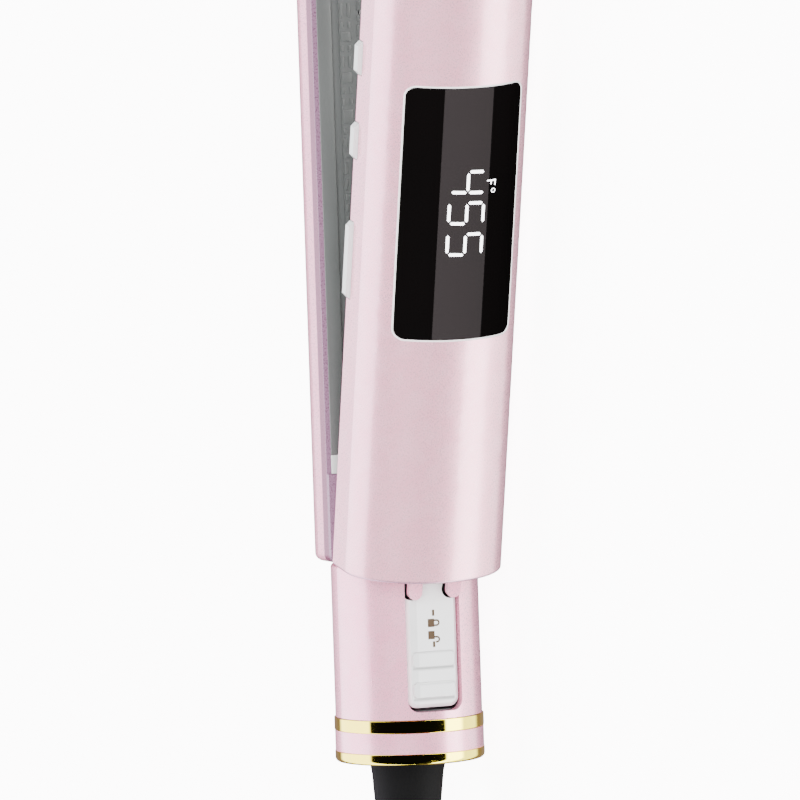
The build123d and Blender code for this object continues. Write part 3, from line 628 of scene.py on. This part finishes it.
def coil_point(turned_by, reach):
    """A point of the coil's line after an angle in degrees from where the cord lies down on the coil."""
    inward = sum(eased(turned_by, start) for start in STEPS_IN)
    outward = sum(eased(turned_by, start) for start in STEPS_OUT)
    radius = (COIL_RADIUS - TURN_SPACING * (inward - outward)) * reach
    height = LAYER_HEIGHTS[0] + (LAYER_HEIGHTS[1] - LAYER_HEIGHTS[0]) * eased(turned_by, CLIMB)
    angle = radians(COIL_START + turned_by)
    return COIL_CENTRE[0] + radius * cos(angle), COIL_CENTRE[1] + radius * sin(angle), height


def cord_points():
    """The cord's control points, in metres: its way down, its coil and its way to the plug."""
    count = settings().turn_points
    reach = 1 / (0.75 + 0.25 * cos(tau / count))  # the curve cuts its control polygon's corners by this
    step = 360.0 / count
    points = [FIXED_PLACE @ (Vector(point) * MM) for point in CORD_ROUTE[:-1]]
    for index in range(int(COIL_TURNS * 360.0 / step) + 1):
        points.append(FIXED_PLACE @ (Vector(coil_point(index * step, reach)) * MM))
    place = last_turn_place()
    points.extend(place @ (Vector(point) * MM) for point in END_ROUTE[1:])
    return points


class FLATIRON_OT_cord(bpy.types.Operator):
    """The power cord: down from the strain relief, put away in a coil, and out to its plug"""
    bl_idname = "flatiron.cord"
    bl_label = "Power cord"

    def execute(self, context):
        curve, spline = new_curve("power_cord_line", "NURBS", cord_points())
        spline.order_u = 3
        spline.use_endpoint_u = True
        curve.resolution_u = 6
        curve.bevel_depth = settings().cord_radius
        curve.bevel_resolution = 4
        curve.use_fill_caps = True
        cord = in_scene("cord_sheath", curve)
        finish_piece(cord, "cord_sheath", BASE_BODY, ("power_cord", "cord_coil", "power_cord_end"))
        return {"FINISHED"}


# The plug's blades, along the cord's end and about its line (mm)
BLADE_FOOT, BLADE_TIP, BLADE_OFFSET, BLADE_THICK, BLADE_WIDE = 77.5, 93.9, 6.35, 1.5, 6.4


class FLATIRON_OT_plug(bpy.types.Operator):
    """The moulded plug, its ribbed relief and its two blades"""
    bl_idname = "flatiron.plug"
    bl_label = "Plug"

    def execute(self, context):
        place = last_turn_place()
        middle = FLOOR + 7.5
        work = bmesh.new()
        low, high = Vector((48.3, -12.4, FLOOR + 0.02)), Vector((77.9, 12.4, FLOOR + 14.9))
        corners = box_cage(work, low * MM, high * MM)
        for vertex in corners[:4]:
            vertex.co.y *= 0.66
            vertex.co.z = middle * MM + (vertex.co.z - middle * MM) * 0.82
        body = from_bmesh("plug_body_cage", work)
        add_modifier(body, "BEVEL", width=3.0 * MM, segments=4, limit_method="NONE")
        body = apply_stack(body)
        smooth(body, 50)
        profile = [(0.0, 50.0), (5.6, 50.0), (5.6, 46.6)]
        for index in range(5):
            top = 45.6 - 3.0 * index
            radius = 5.4 - 0.22 * index
            profile += [(radius - 0.8, top + 0.6), (radius - 0.8, top - 0.2), (radius, top - 0.6),
                        (radius, top - 2.2)]
        profile += [(4.3, 30.4), (3.9, 30.02), (0.0, 30.02)]
        relief = turned("plug_relief", profile, 40)
        put(relief, Matrix.Translation((0, 0, middle * MM)) @ Matrix.Rotation(pi / 2, 4, "Y"))
        smooth(relief, 40)
        plug = join("plug_moulding", [body, relief])
        put(plug, place)
        finish_piece(plug, "plug_moulding", BASE_BODY, ("plug_body",))
        work = bmesh.new()
        for y in (-BLADE_OFFSET, BLADE_OFFSET):
            low = Vector((BLADE_FOOT, y - BLADE_THICK / 2, middle - BLADE_WIDE / 2))
            high = Vector((BLADE_TIP, y + BLADE_THICK / 2, middle + BLADE_WIDE / 2))
            box_cage(work, low * MM, high * MM)
        pins = from_bmesh("plug_pins", work)
        add_bevel(pins, 0.35 * MM, 2)
        put(apply_stack(pins), place)
        finish_piece(pins, "nickel", BASE_BODY, ("plug_blades",))
        return {"FINISHED"}


class FLATIRON_OT_tie(bpy.types.Operator):
    """The hook and loop strap round the coil"""
    bl_idname = "flatiron.tie"
    bl_label = "Coil tie"

    def execute(self, context):
        low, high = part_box("cord_tie")
        loop = rounded_rectangle((low.x, low.z), (high.x, high.z), 3.2 * MM)
        rows = [low.y, (low.y + high.y) / 2, high.y]
        vertices = [(x, y, z) for y in rows for x, z in loop]
        count = len(loop)
        faces = []
        for row in range(len(rows) - 1):
            for index in range(count):
                after = (index + 1) % count
                faces.append((row * count + index, row * count + after,
                              (row + 1) * count + after, (row + 1) * count + index))
        tie = new_object("coil_tie", vertices, faces)
        tie.data.flip_normals()
        add_modifier(tie, "SOLIDIFY", thickness=0.75 * MM, offset=-1.0)
        add_bevel(tie, 0.2 * MM, 2, 60)
        smooth(tie, 50)
        finish_piece(tie, "tie_strap", BASE_BODY, ("cord_tie",))
        return {"FINISHED"}


# The boot leans to one side between the swivel and the cord, as soft rubber that has been bent does (mm)
LEAN = 0.85
LEAN_START, LEAN_END = -40.0, -90.0


class FLATIRON_OT_strain_relief(bpy.types.Operator):
    """The tapered boot: smooth at the swivel, then ribbed down to the cord"""
    bl_idname = "flatiron.strain_relief"
    bl_label = "Strain relief"

    def execute(self, context):
        profile = [(0.0, -44.85), (8.55, -44.85), (8.55, -51.6), (8.2, -52.3), (7.7, -55.0), (7.35, -59.0),
                   (7.0, -62.5)]
        for index in range(6):
            top = -63.0 - 4.4 * index
            radius = 6.9 - 0.42 * index
            profile += [(radius - 0.9, top - 0.2), (radius - 1.0, top - 1.1), (radius - 0.05, top - 1.5),
                        (radius - 0.2, top - 3.9)]
        profile += [(4.25, -90.6), (4.0, -91.9), (3.3, -91.98), (0.0, -91.98)]
        boot = turned("relief_boot", profile)
        add_bevel(boot, 0.18 * MM, 2, 35)
        boot = apply_stack(boot)
        for vertex in boot.data.vertices:
            down = (vertex.co.z / MM - LEAN_START) / (LEAN_END - LEAN_START)
            vertex.co.x -= LEAN * sin(pi * min(1.0, max(0.0, down))) * MM
        put(boot, FIXED_PLACE @ Matrix.Translation((0, BASE_Y * MM, 0)) @ Matrix.Rotation(pi / 2, 4, "Y"))
        smooth(boot, 60)
        finish_piece(boot, "black_rubber", SWIVEL_BODY, ("strain_relief",))
        return {"FINISHED"}


# ------------------------------------------------------------------ display, marks and covers


# The lit segments of each digit, a to f round it from its top and g across its middle
SEGMENTS = {
    "0": "abcdef", "1": "bc", "2": "abged", "3": "abgcd", "4": "fgbc",
    "5": "afgcd", "6": "afgedc", "7": "abc", "8": "abcdefg", "9": "abcdfg",
}

# Digits as shares of their height
DIGIT_WIDTH, DIGIT_PITCH, DIGIT_STROKE, DIGIT_GAP = 0.57, 0.855, 0.086, 0.035
DIGIT_SLANT = 0.045

# Places in the window, along and across the display arm (mm)
DIGITS_START, DIGITS_FOOT = 81.2, -3.55
SIGN_X, SIGN_Z, SIGN_HEIGHT, SIGN_STROKE = 78.9, 4.95, 2.2, 0.3
DEGREE_CENTRE, DEGREE_OUTER, DEGREE_INNER = (76.5, 6.6), 0.52, 0.35
# The band of painted reflection: its edges across the window, its rows and half its length (mm)
STRIP_LOW, STRIP_HIGH, STRIP_ROWS = -5.75, 5.4, 10
STRIP_HALF = WINDOW_LENGTH / 2 - 0.14
# The bead of painted highlight round the window: its radius and how far it sinks (mm)
RIM_RADIUS, RIM_SINK = 0.24, 0.12

# The slider's marks: their middle line, and places along the base about the hinge pin (mm)
MARKS_MIDDLE, CLOSED_LOCK, OPEN_LOCK = -0.35, -22.0, -24.6
DASHES = ((-20.5, -19.2), (-27.2, -25.95))
DASH_HALF = 0.26


def bar_outline(first, last, width):
    """A segment's outline between two points: straight sides and pointed ends."""
    along = (last - first).normalized() * width / 2
    across = Vector((-along.y, along.x))
    return [first, first + along + across, last - along + across, last,
            last - along - across, first + along - across]


def ring_outline(centre, outer, inner, pieces, sweep=360.0):
    """A flat ring or arc as quads, in (x, z)."""
    outlines = []
    for index in range(pieces):
        start = radians(sweep * index / pieces)
        end = radians(sweep * (index + 1) / pieces)
        corners = ((start, outer), (end, outer), (end, inner), (start, inner))
        outlines.append([Vector((centre[0] + radius * cos(turn), centre[1] + radius * sin(turn)))
                         for turn, radius in corners])
    return outlines


def rectangle(low, high):
    return [Vector((low[0], low[1])), Vector((high[0], low[1])), Vector((high[0], high[1])),
            Vector((low[0], high[1]))]


def padlock_outlines(centre, opened):
    """A small padlock: a body and a shackle, swung aside when it is open. Its top is +z."""
    x, z = centre
    outlines = [rectangle((x - 0.88, z - 1.4), (x + 0.88, z + 0.1))]
    shift = 0.95 if opened else 0.0
    outlines += ring_outline((x - shift, z + 0.62), 0.72, 0.36, 8, 180)
    for side, foot in ((-0.72, 0.35 if opened else 0.05), (0.36, 0.05)):
        outlines.append(rectangle((x - shift + side, z + foot), (x - shift + side + 0.36, z + 0.63)))
    return outlines


def on_surface(outlines, surface, thick, name):
    """Flat outlines laid on a surface and given a thickness, each cut small enough to follow its curve."""
    work = bmesh.new()
    for outline in outlines:
        corners = [work.verts.new((point.x, 0, point.y)) for point in outline]
        work.faces.new(corners)
    bmesh.ops.triangulate(work, faces=work.faces[:])
    bmesh.ops.subdivide_edges(work, edges=work.edges[:], cuts=2, use_grid_fill=True)
    made = bmesh.ops.extrude_face_region(work, geom=work.faces[:])
    raised = {item for item in made["geom"] if isinstance(item, bmesh.types.BMVert)}
    for vertex in work.verts:
        vertex.co = surface(vertex.co.x, vertex.co.z, thick if vertex in raised else 0.0) * MM
    bmesh.ops.recalc_face_normals(work, faces=work.faces[:])
    return from_bmesh(name, work)


def digit_outlines(text, height):
    """The lit segments of a number: it reads towards the hinge, its digits' tops away from the buttons."""
    width, half = DIGIT_WIDTH * height, height / 2
    pitch = DIGIT_PITCH * height
    ends = {"a": ((0, height), (width, height)), "b": ((width, height), (width, half)),
            "c": ((width, half), (width, 0)), "d": ((0, 0), (width, 0)), "e": ((0, half), (0, 0)),
            "f": ((0, height), (0, half)), "g": ((0, half), (width, half))}
    outlines = []
    for index, digit in enumerate(text):
        for segment in SEGMENTS[digit]:
            first, last = (Vector(end) for end in ends[segment])
            along = (last - first).normalized() * DIGIT_GAP * height
            outline = bar_outline(first + along, last - along, DIGIT_STROKE * height)
            outlines.append([Vector((DIGITS_START - index * pitch - point.x - DIGIT_SLANT * point.y,
                                     DIGITS_FOOT + point.y)) for point in outline])
    return outlines


def sign_outlines():
    """The small F and the degree ring after it."""
    left, right, top = SIGN_X - SIGN_STROKE, SIGN_X, SIGN_Z + SIGN_HEIGHT
    middle = top - 0.6 * SIGN_HEIGHT
    return [rectangle((left, SIGN_Z), (right, top)),
            rectangle((SIGN_X - 1.25, top - SIGN_STROKE), (left, top)),
            rectangle((SIGN_X - 1.0, middle), (left, middle + SIGN_STROKE)),
            *ring_outline(DEGREE_CENTRE, DEGREE_OUTER, DEGREE_INNER, 12)]


def strip_piece():
    """The band of painted reflection: a paler thin sheet that follows the window."""
    corners = []
    for row in range(STRIP_ROWS + 1):
        z = STRIP_LOW + (STRIP_HIGH - STRIP_LOW) * row / STRIP_ROWS
        corners += [on_arch(WINDOW_CENTRE + side * STRIP_HALF, z, 0.02) * MM for side in (-1, 1)]
    faces = [(2 * row, 2 * row + 2, 2 * row + 3, 2 * row + 1) for row in range(STRIP_ROWS)]
    strip = new_object("display_painted_reflection", corners, faces)
    add_modifier(strip, "SOLIDIFY", thickness=0.02 * MM, offset=-1.0)
    return smooth(put(apply_stack(strip), DISPLAY_PLACE), 30)


def rim_piece():
    """The pale bead round the window, a painted highlight of the window's edge, bent over the arm's back."""
    x, z = WINDOW_LENGTH / 2, WINDOW_WIDTH / 2
    line = rounded_rectangle((WINDOW_CENTRE - x, -z), (WINDOW_CENTRE + x, z), WINDOW_CORNER)
    dense = []
    for (x0, z0), (x1, z1) in zip(line, line[1:] + line[:1]):
        pieces = max(1, ceil(abs(z1 - z0) / 1.5))
        dense += [(x0 + (x1 - x0) * part / pieces, z0 + (z1 - z0) * part / pieces) for part in range(pieces)]
    curve, spline = new_curve("window_highlight_bead_line", "POLY", [on_arch(x, z, -RIM_SINK) * MM for x, z in dense])
    spline.use_cyclic_u = True
    curve.bevel_depth = RIM_RADIUS * MM
    curve.bevel_resolution = 3
    return smooth(put(apply_stack(in_scene("window_highlight_bead", curve)), DISPLAY_PLACE), 60)


class FLATIRON_OT_display(bpy.types.Operator):
    """The display's lit digits and degree sign, the paler band of painted reflection behind them, and the
    pale bead of painted highlight round the window
    """
    bl_idname = "flatiron.display"
    bl_label = "Display"

    def execute(self, context):
        outlines = digit_outlines(settings().digits, settings().digit_height / MM) + sign_outlines()
        digits = put(on_surface(outlines, on_arch, 0.05, "display_digits"), DISPLAY_PLACE)
        finish_piece(digits, "display_part", DISPLAY_BODY, finish="glow")
        finish_piece(strip_piece(), "black_glass", DISPLAY_BODY, finish="strip")
        finish_piece(rim_piece(), "pearl_shell", DISPLAY_BODY, finish="rim")
        return {"FINISHED"}


# Faces and edges about the hinge pin (mm)
SLIDER_FACE = -10.9
FIXED_RIM_FACE = 0.2
FLANGE_INNER, FLANGE_OUTER, FLANGE_THICK = 14.0, 17.3, 0.35
COVER_REAR, COVER_FRONT, END_BLOCK_REAR = 14.2, 124.0, 10.2


def on_slider(x, z, proud=0.0):
    """A point on the lock slider's flat face, about the hinge pin, in mm."""
    return Vector((x, SLIDER_FACE - proud, z))


class FLATIRON_OT_slider_marks(bpy.types.Operator):
    """The lock slider's marks: a closed and an open padlock between two dashes"""
    bl_idname = "flatiron.slider_marks"
    bl_label = "Slider marks"

    def execute(self, context):
        outlines = [rectangle((low, MARKS_MIDDLE - DASH_HALF), (high, MARKS_MIDDLE + DASH_HALF))
                    for low, high in DASHES]
        outlines += padlock_outlines((CLOSED_LOCK, MARKS_MIDDLE + 0.1), False)
        outlines += padlock_outlines((OPEN_LOCK, MARKS_MIDDLE + 0.1), True)
        turned_over = [[Vector((point.x, 2 * MARKS_MIDDLE - point.y)) for point in outline]
                       for outline in outlines]
        marks = put(on_surface(turned_over, on_slider, 0.03, "slider_marks"), FIXED_PLACE)
        finish_piece(marks, "gold", "lock", finish="mark_gold")
        return {"FINISHED"}


def rim_flanges(name, first, last):
    """Thin flanges on the fixed arm's rim, one on each side, between two places along the arm."""
    work = bmesh.new()
    for low, high in ((FLANGE_INNER, FLANGE_OUTER), (-FLANGE_OUTER, -FLANGE_INNER)):
        box_cage(work, (first * MM, (FIXED_RIM_FACE - FLANGE_THICK) * MM, low * MM),
                 (last * MM, FIXED_RIM_FACE * MM, high * MM))
    return moulded_boxes(name, work, 0.12 * MM)


def moulded_boxes(name, work, radius):
    """Boxes on the fixed arm with all their edges rounded."""
    boxes = from_bmesh(name, work)
    add_modifier(boxes, "BEVEL", width=radius, segments=2, limit_method="NONE")
    return smooth(put(apply_stack(boxes), FIXED_PLACE), 50)


class FLATIRON_OT_cover_flange(bpy.types.Operator):
    """The thin flanges by which the inner cover and its end block lie on the fixed arm's rim"""
    bl_idname = "flatiron.cover_flange"
    bl_label = "Cover flange"

    def execute(self, context):
        flange = rim_flanges("cover_flange", COVER_REAR, COVER_FRONT)
        finish_piece(flange, "grey_cover", BASE_BODY)
        end = rim_flanges("end_block_flange", END_BLOCK_REAR, COVER_REAR - 0.05)
        finish_piece(end, "light_block", BASE_BODY)
        return {"FINISHED"}


# Raised bars on the cover: each column's middle line, start and end, the bars' lengths and their gap (mm)
BAR_COLUMNS = ((10.7, 51.0, 117.0), (6.8, 66.0, 117.0))
BAR_LENGTHS = (2.6, 1.3, 2.0, 1.3, 3.0, 1.6, 1.3, 2.3)
BAR_GAP = 0.9


class FLATIRON_OT_cover_bars(bpy.types.Operator):
    """Two columns of raised bars, single and in pairs, moulded on the fixed arm's inner cover"""
    bl_idname = "flatiron.cover_bars"
    bl_label = "Cover bars"

    def execute(self, context):
        work = bmesh.new()
        for column, (centre, first, last) in enumerate(BAR_COLUMNS):
            x, index = first, column * 3
            while x < last:
                length = BAR_LENGTHS[index % len(BAR_LENGTHS)]
                for offset in ((-0.85, 0.85) if index % 3 else (0.0,)):
                    half = 0.34 if offset else 1.15
                    box_cage(work, (x * MM, -0.02 * MM, (centre + offset - half) * MM),
                             ((x + length) * MM, 0.3 * MM, (centre + offset + half) * MM))
                x += length + BAR_GAP
                index += 1
        bars = moulded_boxes("cover_bars", work, 0.16 * MM)
        finish_piece(bars, "grey_cover", BASE_BODY)
        return {"FINISHED"}


# ------------------------------------------------------------------ stage

# The light tent's bands, by the angle from straight ahead (0) over the top (90) to the back (180), and
# below the floor as negative angles: where each starts, where it is full, and its light
FRONT_TONE = (0.004, 0.004, 0.004, 1)
BACK_TONE = (0.42, 0.31, 0.36, 1)
LIGHT_BANDS = ((85, 89, (6.3, 6.0, 6.6, 1)), (150, 160, BACK_TONE), (-33, -37, (12.0, 11.9, 11.6, 1)),
               (-62, -70, (3.8, 3.75, 3.6, 1)), (-98, -108, BACK_TONE))

# What the camera sees behind the iron, past the floor's edge
BACKDROP = (7.0, 7.0, 7.0, 1)

# Soft lights: name, place (m) and share of the brightness. All face the iron and have one size (m)
SOFT_SIZE = (2.4, 1.4)
SOFT_LIGHTS = (("front_fill", (0.0, -1.3, 0.9), 1.0), ("top_light", (0.0, 0.9, 1.3), 0.7),
               ("low_front_light", (0.0, -1.2, -0.9), 0.36), ("back_light", (0.0, 1.6, -0.3), 0.6))

# The floor: half its side and its height (m), and the tint of its light
FLOOR_REACH, FLOOR_DROP = 4.0, -0.3 * MM
FLOOR_TINT = (1.0, 0.985, 0.985, 1)

# The camera's angles, distance from the hinge pin (m) and lens (mm), and how far the pin stands to the
# right of the picture's middle and above it (m)
VIEW_TURN = radians(23.38)
VIEW_TILT = radians(4.16)
VIEW_ROLL = radians(-1.89)
VIEW_DISTANCE = 2.3744
LENS = 501.1
VIEW_SHIFT = (0.00170, -0.02484)


def standing(right, up, back, place):
    """The transform of a light or a camera from its axes and its position."""
    return Matrix((*((right[row], up[row], back[row], place[row]) for row in range(3)), (0, 0, 0, 1)))


def view_axes():
    """The camera's right, up and backward directions: it stands over the floor with the tips up."""
    square = Vector((0, -cos(VIEW_TURN), sin(VIEW_TURN)))
    along = Vector((1, 0, 0))
    back = cos(VIEW_TILT) * square + sin(VIEW_TILT) * along
    upward = cos(VIEW_TILT) * along - sin(VIEW_TILT) * square
    sideways = along.cross(square)
    right = cos(VIEW_ROLL) * sideways + sin(VIEW_ROLL) * upward
    up = cos(VIEW_ROLL) * upward - sin(VIEW_ROLL) * sideways
    return right, up, back


def soft_light(name, place, strength):
    """A large softbox that faces the iron, its long side along X, and that the gloss doesn't show."""
    light = bpy.data.lights.new(name, "AREA")
    light.shape = "RECTANGLE"
    light.size, light.size_y = SOFT_SIZE
    light.energy = strength * SOFT_SIZE[0] * SOFT_SIZE[1] * pi
    lamp = in_scene(name, light)
    back = Vector(place).normalized()
    side = Vector((1, 0, 0))
    lamp.matrix_world = standing(side, back.cross(side).normalized(), back, place)
    lamp.visible_glossy = False


def studio_world():
    """A light tent in bands about the iron's length: bright above and below, black in front, dim behind."""
    world = bpy.data.worlds.new("Studio")
    bpy.context.scene.world = world
    world.use_nodes = True
    tree = world.node_tree
    direction = node(tree, "ShaderNodeTexCoord").outputs["Generated"]
    parts = node(tree, "ShaderNodeSeparateXYZ", Vector=direction)
    front = maths(tree, "MULTIPLY", parts.outputs[1], -1.0)
    turn = maths(tree, "ARCTAN2", parts.outputs[2], front)
    lit = FRONT_TONE
    for first, last, tone in LIGHT_BANDS:
        lit = mix_colour(tree, map_range(tree, turn, radians(first), radians(last)), lit, tone)
    seen = node(tree, "ShaderNodeLightPath").outputs["Is Camera Ray"]
    lit = mix_colour(tree, seen, lit, BACKDROP)
    background = tree.nodes["Background"]
    tree.links.new(lit, background.inputs["Color"])
    background.inputs["Strength"].default_value = settings().studio_light
    world.cycles_visibility.diffuse = False


def glowing_floor():
    """The pale floor, lit from below like a light table."""
    corners = [(x * FLOOR_REACH, y * FLOOR_REACH, FLOOR_DROP)
               for x, y in ((-1, -1), (1, -1), (1, 1), (-1, 1))]
    floor = new_object("floor", corners, [(0, 1, 2, 3)])
    surface = moulded("Pale floor", (0.9, 0.9, 0.9), 0.9, 200.0, 0.001 * MM, 0.005,
                      glow=settings().floor_light)
    surface.node_tree.nodes["Principled BSDF"].inputs["Emission Color"].default_value = FLOOR_TINT
    floor.data.materials.append(surface)
    for kind in ("diffuse", "glossy", "shadow"):
        setattr(floor, f"visible_{kind}", False)
    return floor


class FLATIRON_OT_stage(bpy.types.Operator):
    """The pale floor, the soft light and the camera"""
    bl_idname = "flatiron.stage"
    bl_label = "Studio"

    def execute(self, context):
        glowing_floor()
        studio_world()
        for name, place, share in SOFT_LIGHTS:
            soft_light(name, place, share * settings().fill_light)
        right, up, back = view_axes()
        camera = bpy.data.cameras.new("camera")
        camera.lens = LENS
        camera.sensor_width = 36.0
        camera.clip_end = 50.0
        eye = PIVOT + back * VIEW_DISTANCE - right * VIEW_SHIFT[0] - up * VIEW_SHIFT[1]
        holder = in_scene("camera", camera)
        holder.matrix_world = standing(right, up, back, eye)
        context.scene.camera = holder
        return {"FINISHED"}


class FLATIRON_OT_finishes(bpy.types.Operator):
    """Makes the finishes and gives every CAD node its own"""
    bl_idname = "flatiron.finishes"
    bl_label = "Finishes"

    def execute(self, context):
        make_materials()
        for part in frame["record"]["subparts"]:
            shown = frame["nodes"][part["node"]]
            shown.data.materials.clear()
            kind = "fixed_pearl" if part["node"] == "fixed_arm_shell" else part["material_slot"]
            shown.data.materials.append(MATERIALS[kind])
        return {"FINISHED"}


class FLATIRON_PT_panel(bpy.types.Panel):
    """Sizes, colours and steps of the flat iron"""
    bl_idname = "FLATIRON_PT_panel"
    bl_label = "Flat Iron"
    bl_space_type = "VIEW_3D"
    bl_region_type = "UI"
    bl_category = "Flat Iron"

    def draw(self, context):
        for name in FlatIronSettings.__annotations__:
            self.layout.prop(context.scene.flat_iron, name)
        for step in STEPS:
            self.layout.operator(step.bl_idname)


STEPS = (FLATIRON_OT_finishes, FLATIRON_OT_stage, FLATIRON_OT_plug, FLATIRON_OT_tie, FLATIRON_OT_cord,
         FLATIRON_OT_strain_relief, FLATIRON_OT_display, FLATIRON_OT_slider_marks,
         FLATIRON_OT_cover_flange, FLATIRON_OT_cover_bars)
CLASSES = (FlatIronSettings, *STEPS, FLATIRON_PT_panel)


def register():
    for item in CLASSES:
        bpy.utils.register_class(item)
    bpy.types.Scene.flat_iron = PointerProperty(type=FlatIronSettings)


def unregister():
    del bpy.types.Scene.flat_iron
    for item in reversed(CLASSES):
        bpy.utils.unregister_class(item)


def main():
    register()
    for step in STEPS:
        family, name = step.bl_idname.split(".")
        getattr(getattr(bpy.ops, family), name)()


if __name__ == "__main__":
    main()
